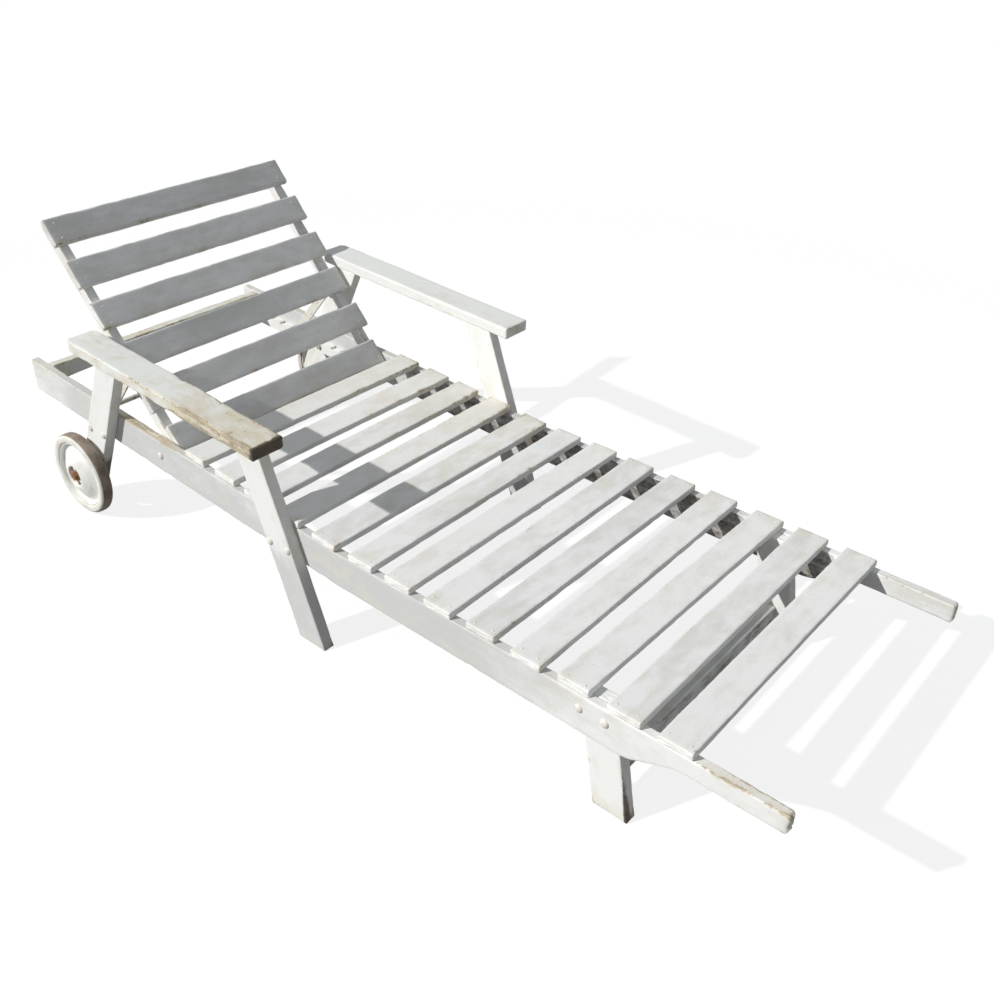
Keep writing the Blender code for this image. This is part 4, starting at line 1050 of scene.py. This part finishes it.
def cut_dish_slots(piece, sign):
    """Cuts two curved slots through the floor of the dish, beside the hub."""
    points, faces = [], []
    for middle in SLOT_ANGLES:
        angles = np.linspace(middle - SLOT_HALF_ANGLE, middle + SLOT_HALF_ANGLE, 9)
        outline = [(SLOT_INNER, angle) for angle in angles] + [(SLOT_OUTER, angle) for angle in angles[::-1]]
        base = len(points)
        for level in (DISC_DOME - 0.014, DISC_DOME + 0.004):
            for radius, angle in outline:
                x = AXLE.x + radius * math.cos(angle)
                points.append((x, sign * level, AXLE.z + radius * math.sin(angle)))
        count = len(outline)
        faces.append(tuple(range(base, base + count)))
        faces.append(tuple(range(base + 2 * count - 1, base + count - 1, -1)))
        for here in range(count):
            after = (here + 1) % count
            faces.append((base + after, base + here, base + count + here, base + count + after))
    mesh = bpy.data.meshes.new("slot_cutter")
    mesh.from_pydata(points, [], faces)
    cutter = new_object("slot_cutter", mesh)
    modifier = piece.modifiers.new("slots", "BOOLEAN")
    modifier.object = cutter
    modifier.solver = "EXACT"
    bpy.context.view_layer.update()
    cut = bpy.data.meshes.new_from_object(piece.evaluated_get(bpy.context.evaluated_depsgraph_get()))
    piece.modifiers.clear()
    piece.data = cut
    bpy.data.objects.remove(cutter)
    cut.set_sharp_from_angle(angle=DISH_SHARP_ANGLE)

    # The cut loses the values that the enamel reads, so they are written again
    places = np.empty(len(cut.vertices) * 3, np.float32)
    cut.vertices.foreach_get("co", places)
    places = places.reshape(-1, 3) - np.array((AXLE.x, 0, AXLE.z), np.float32)
    grain = cut.attributes.get("grain") or cut.attributes.new("grain", "FLOAT_VECTOR", "POINT")
    grain.data.foreach_set("vector", places.ravel())


# Solids that keep their own shape
def dress_solids():
    """Gives the solids that stay visible a rusty or painted material of their own."""
    for name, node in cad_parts.items():
        if node.hide_render:
            continue
        finish = "painted_bolts" if name.startswith("hinge_bolt") else "rusty_steel"
        finish = "white_paint" if name.startswith("prop_rack") else finish
        node.data.materials.clear()
        node.data.materials.append(plain_coordinates(finish))


def plain_coordinates(finish):
    """A copy of a finish that reads object coordinates, for a mesh without marks."""
    name = finish + "_solid"
    if name in bpy.data.materials:
        return bpy.data.materials[name]
    material = MATERIALS[finish].copy()
    material.name = name
    tree = material.node_tree
    coordinates = tree.nodes.new("ShaderNodeTexCoord")
    for node in list(tree.nodes):
        if node.bl_idname == "ShaderNodeAttribute" and node.attribute_name == "grain":
            for link in list(node.outputs["Vector"].links):
                tree.links.new(coordinates.outputs["Object"], link.to_socket)
    return material


# Stage
def build_stage():
    """Pale floor, white surround with cool light, one sun and the photograph's camera."""
    scene = bpy.context.scene
    mesh = bpy.data.meshes.new("floor")
    corners = [(x * FLOOR_SIZE, y * FLOOR_SIZE, 0) for x, y in ((-1, -1), (1, -1), (1, 1), (-1, 1))]
    mesh.from_pydata(corners, [], [(0, 1, 2, 3)])
    floor = new_object("floor", mesh)
    floor.location.z = FLOOR_HEIGHT
    g = Graph(bpy.data.materials.new("floor"))
    g.tree.nodes.clear()
    fade = g.ramp(g.length(g.node("NewGeometry").outputs["Position"]), *FLOOR_FADE)
    shade = g.mix(fade, (FLOOR_SHADE,) * 3, (0.0,) * 3)
    diffuse = g.node("BsdfDiffuse", Color=shade)
    glow = g.math("MULTIPLY", g.seen_rays(), g.ramp(fade, 0.0, 1.0, FLOOR_GLOW, 1.0))
    emission = g.node("Emission", Color=WHITE, Strength=glow)
    both = g.node("AddShader")
    g.put(both.inputs[0], diffuse.outputs[0])
    g.put(both.inputs[1], emission.outputs[0])
    g.node("OutputMaterial", Surface=both.outputs[0])
    mesh.materials.append(g.owner)

    world = Graph(bpy.data.worlds.new("surround"))
    scene.world = world.owner
    background = world.tree.nodes["Background"]
    seen = world.seen_rays()
    world.put(background.inputs["Color"], world.mix(seen, SKY_COLOUR, WHITE))
    world.put(background.inputs["Strength"], world.ramp(seen, 0.0, 1.0, SKY_LEVEL, 1.0))

    lamp = bpy.data.lights.new("key", "SUN")
    lamp.energy = math.pi * SUN_LEVEL
    lamp.angle = SUN_ANGLE
    lamp.color = SUN_COLOUR
    key = new_object("key", lamp)
    key.rotation_euler = Vector(SUN_RAYS).to_track_quat("-Z", "Y").to_euler()

    optics = bpy.data.cameras.new("camera")
    optics.lens = LENS
    camera = new_object("camera", optics)
    axes = Matrix((CAMERA_RIGHT, CAMERA_UP, CAMERA_BACK)).transposed()
    camera.matrix_world = Matrix.Translation(CAMERA_PLACE) @ axes.to_4x4()
    scene.camera = camera
    scene.view_settings.view_transform = "Standard"


build_stage()
build_rails()
build_seat()
build_cross_members()
build_legs()
build_leg_bolts()
build_armrests()
build_prop(build_back())
build_wheels()
dress_solids()
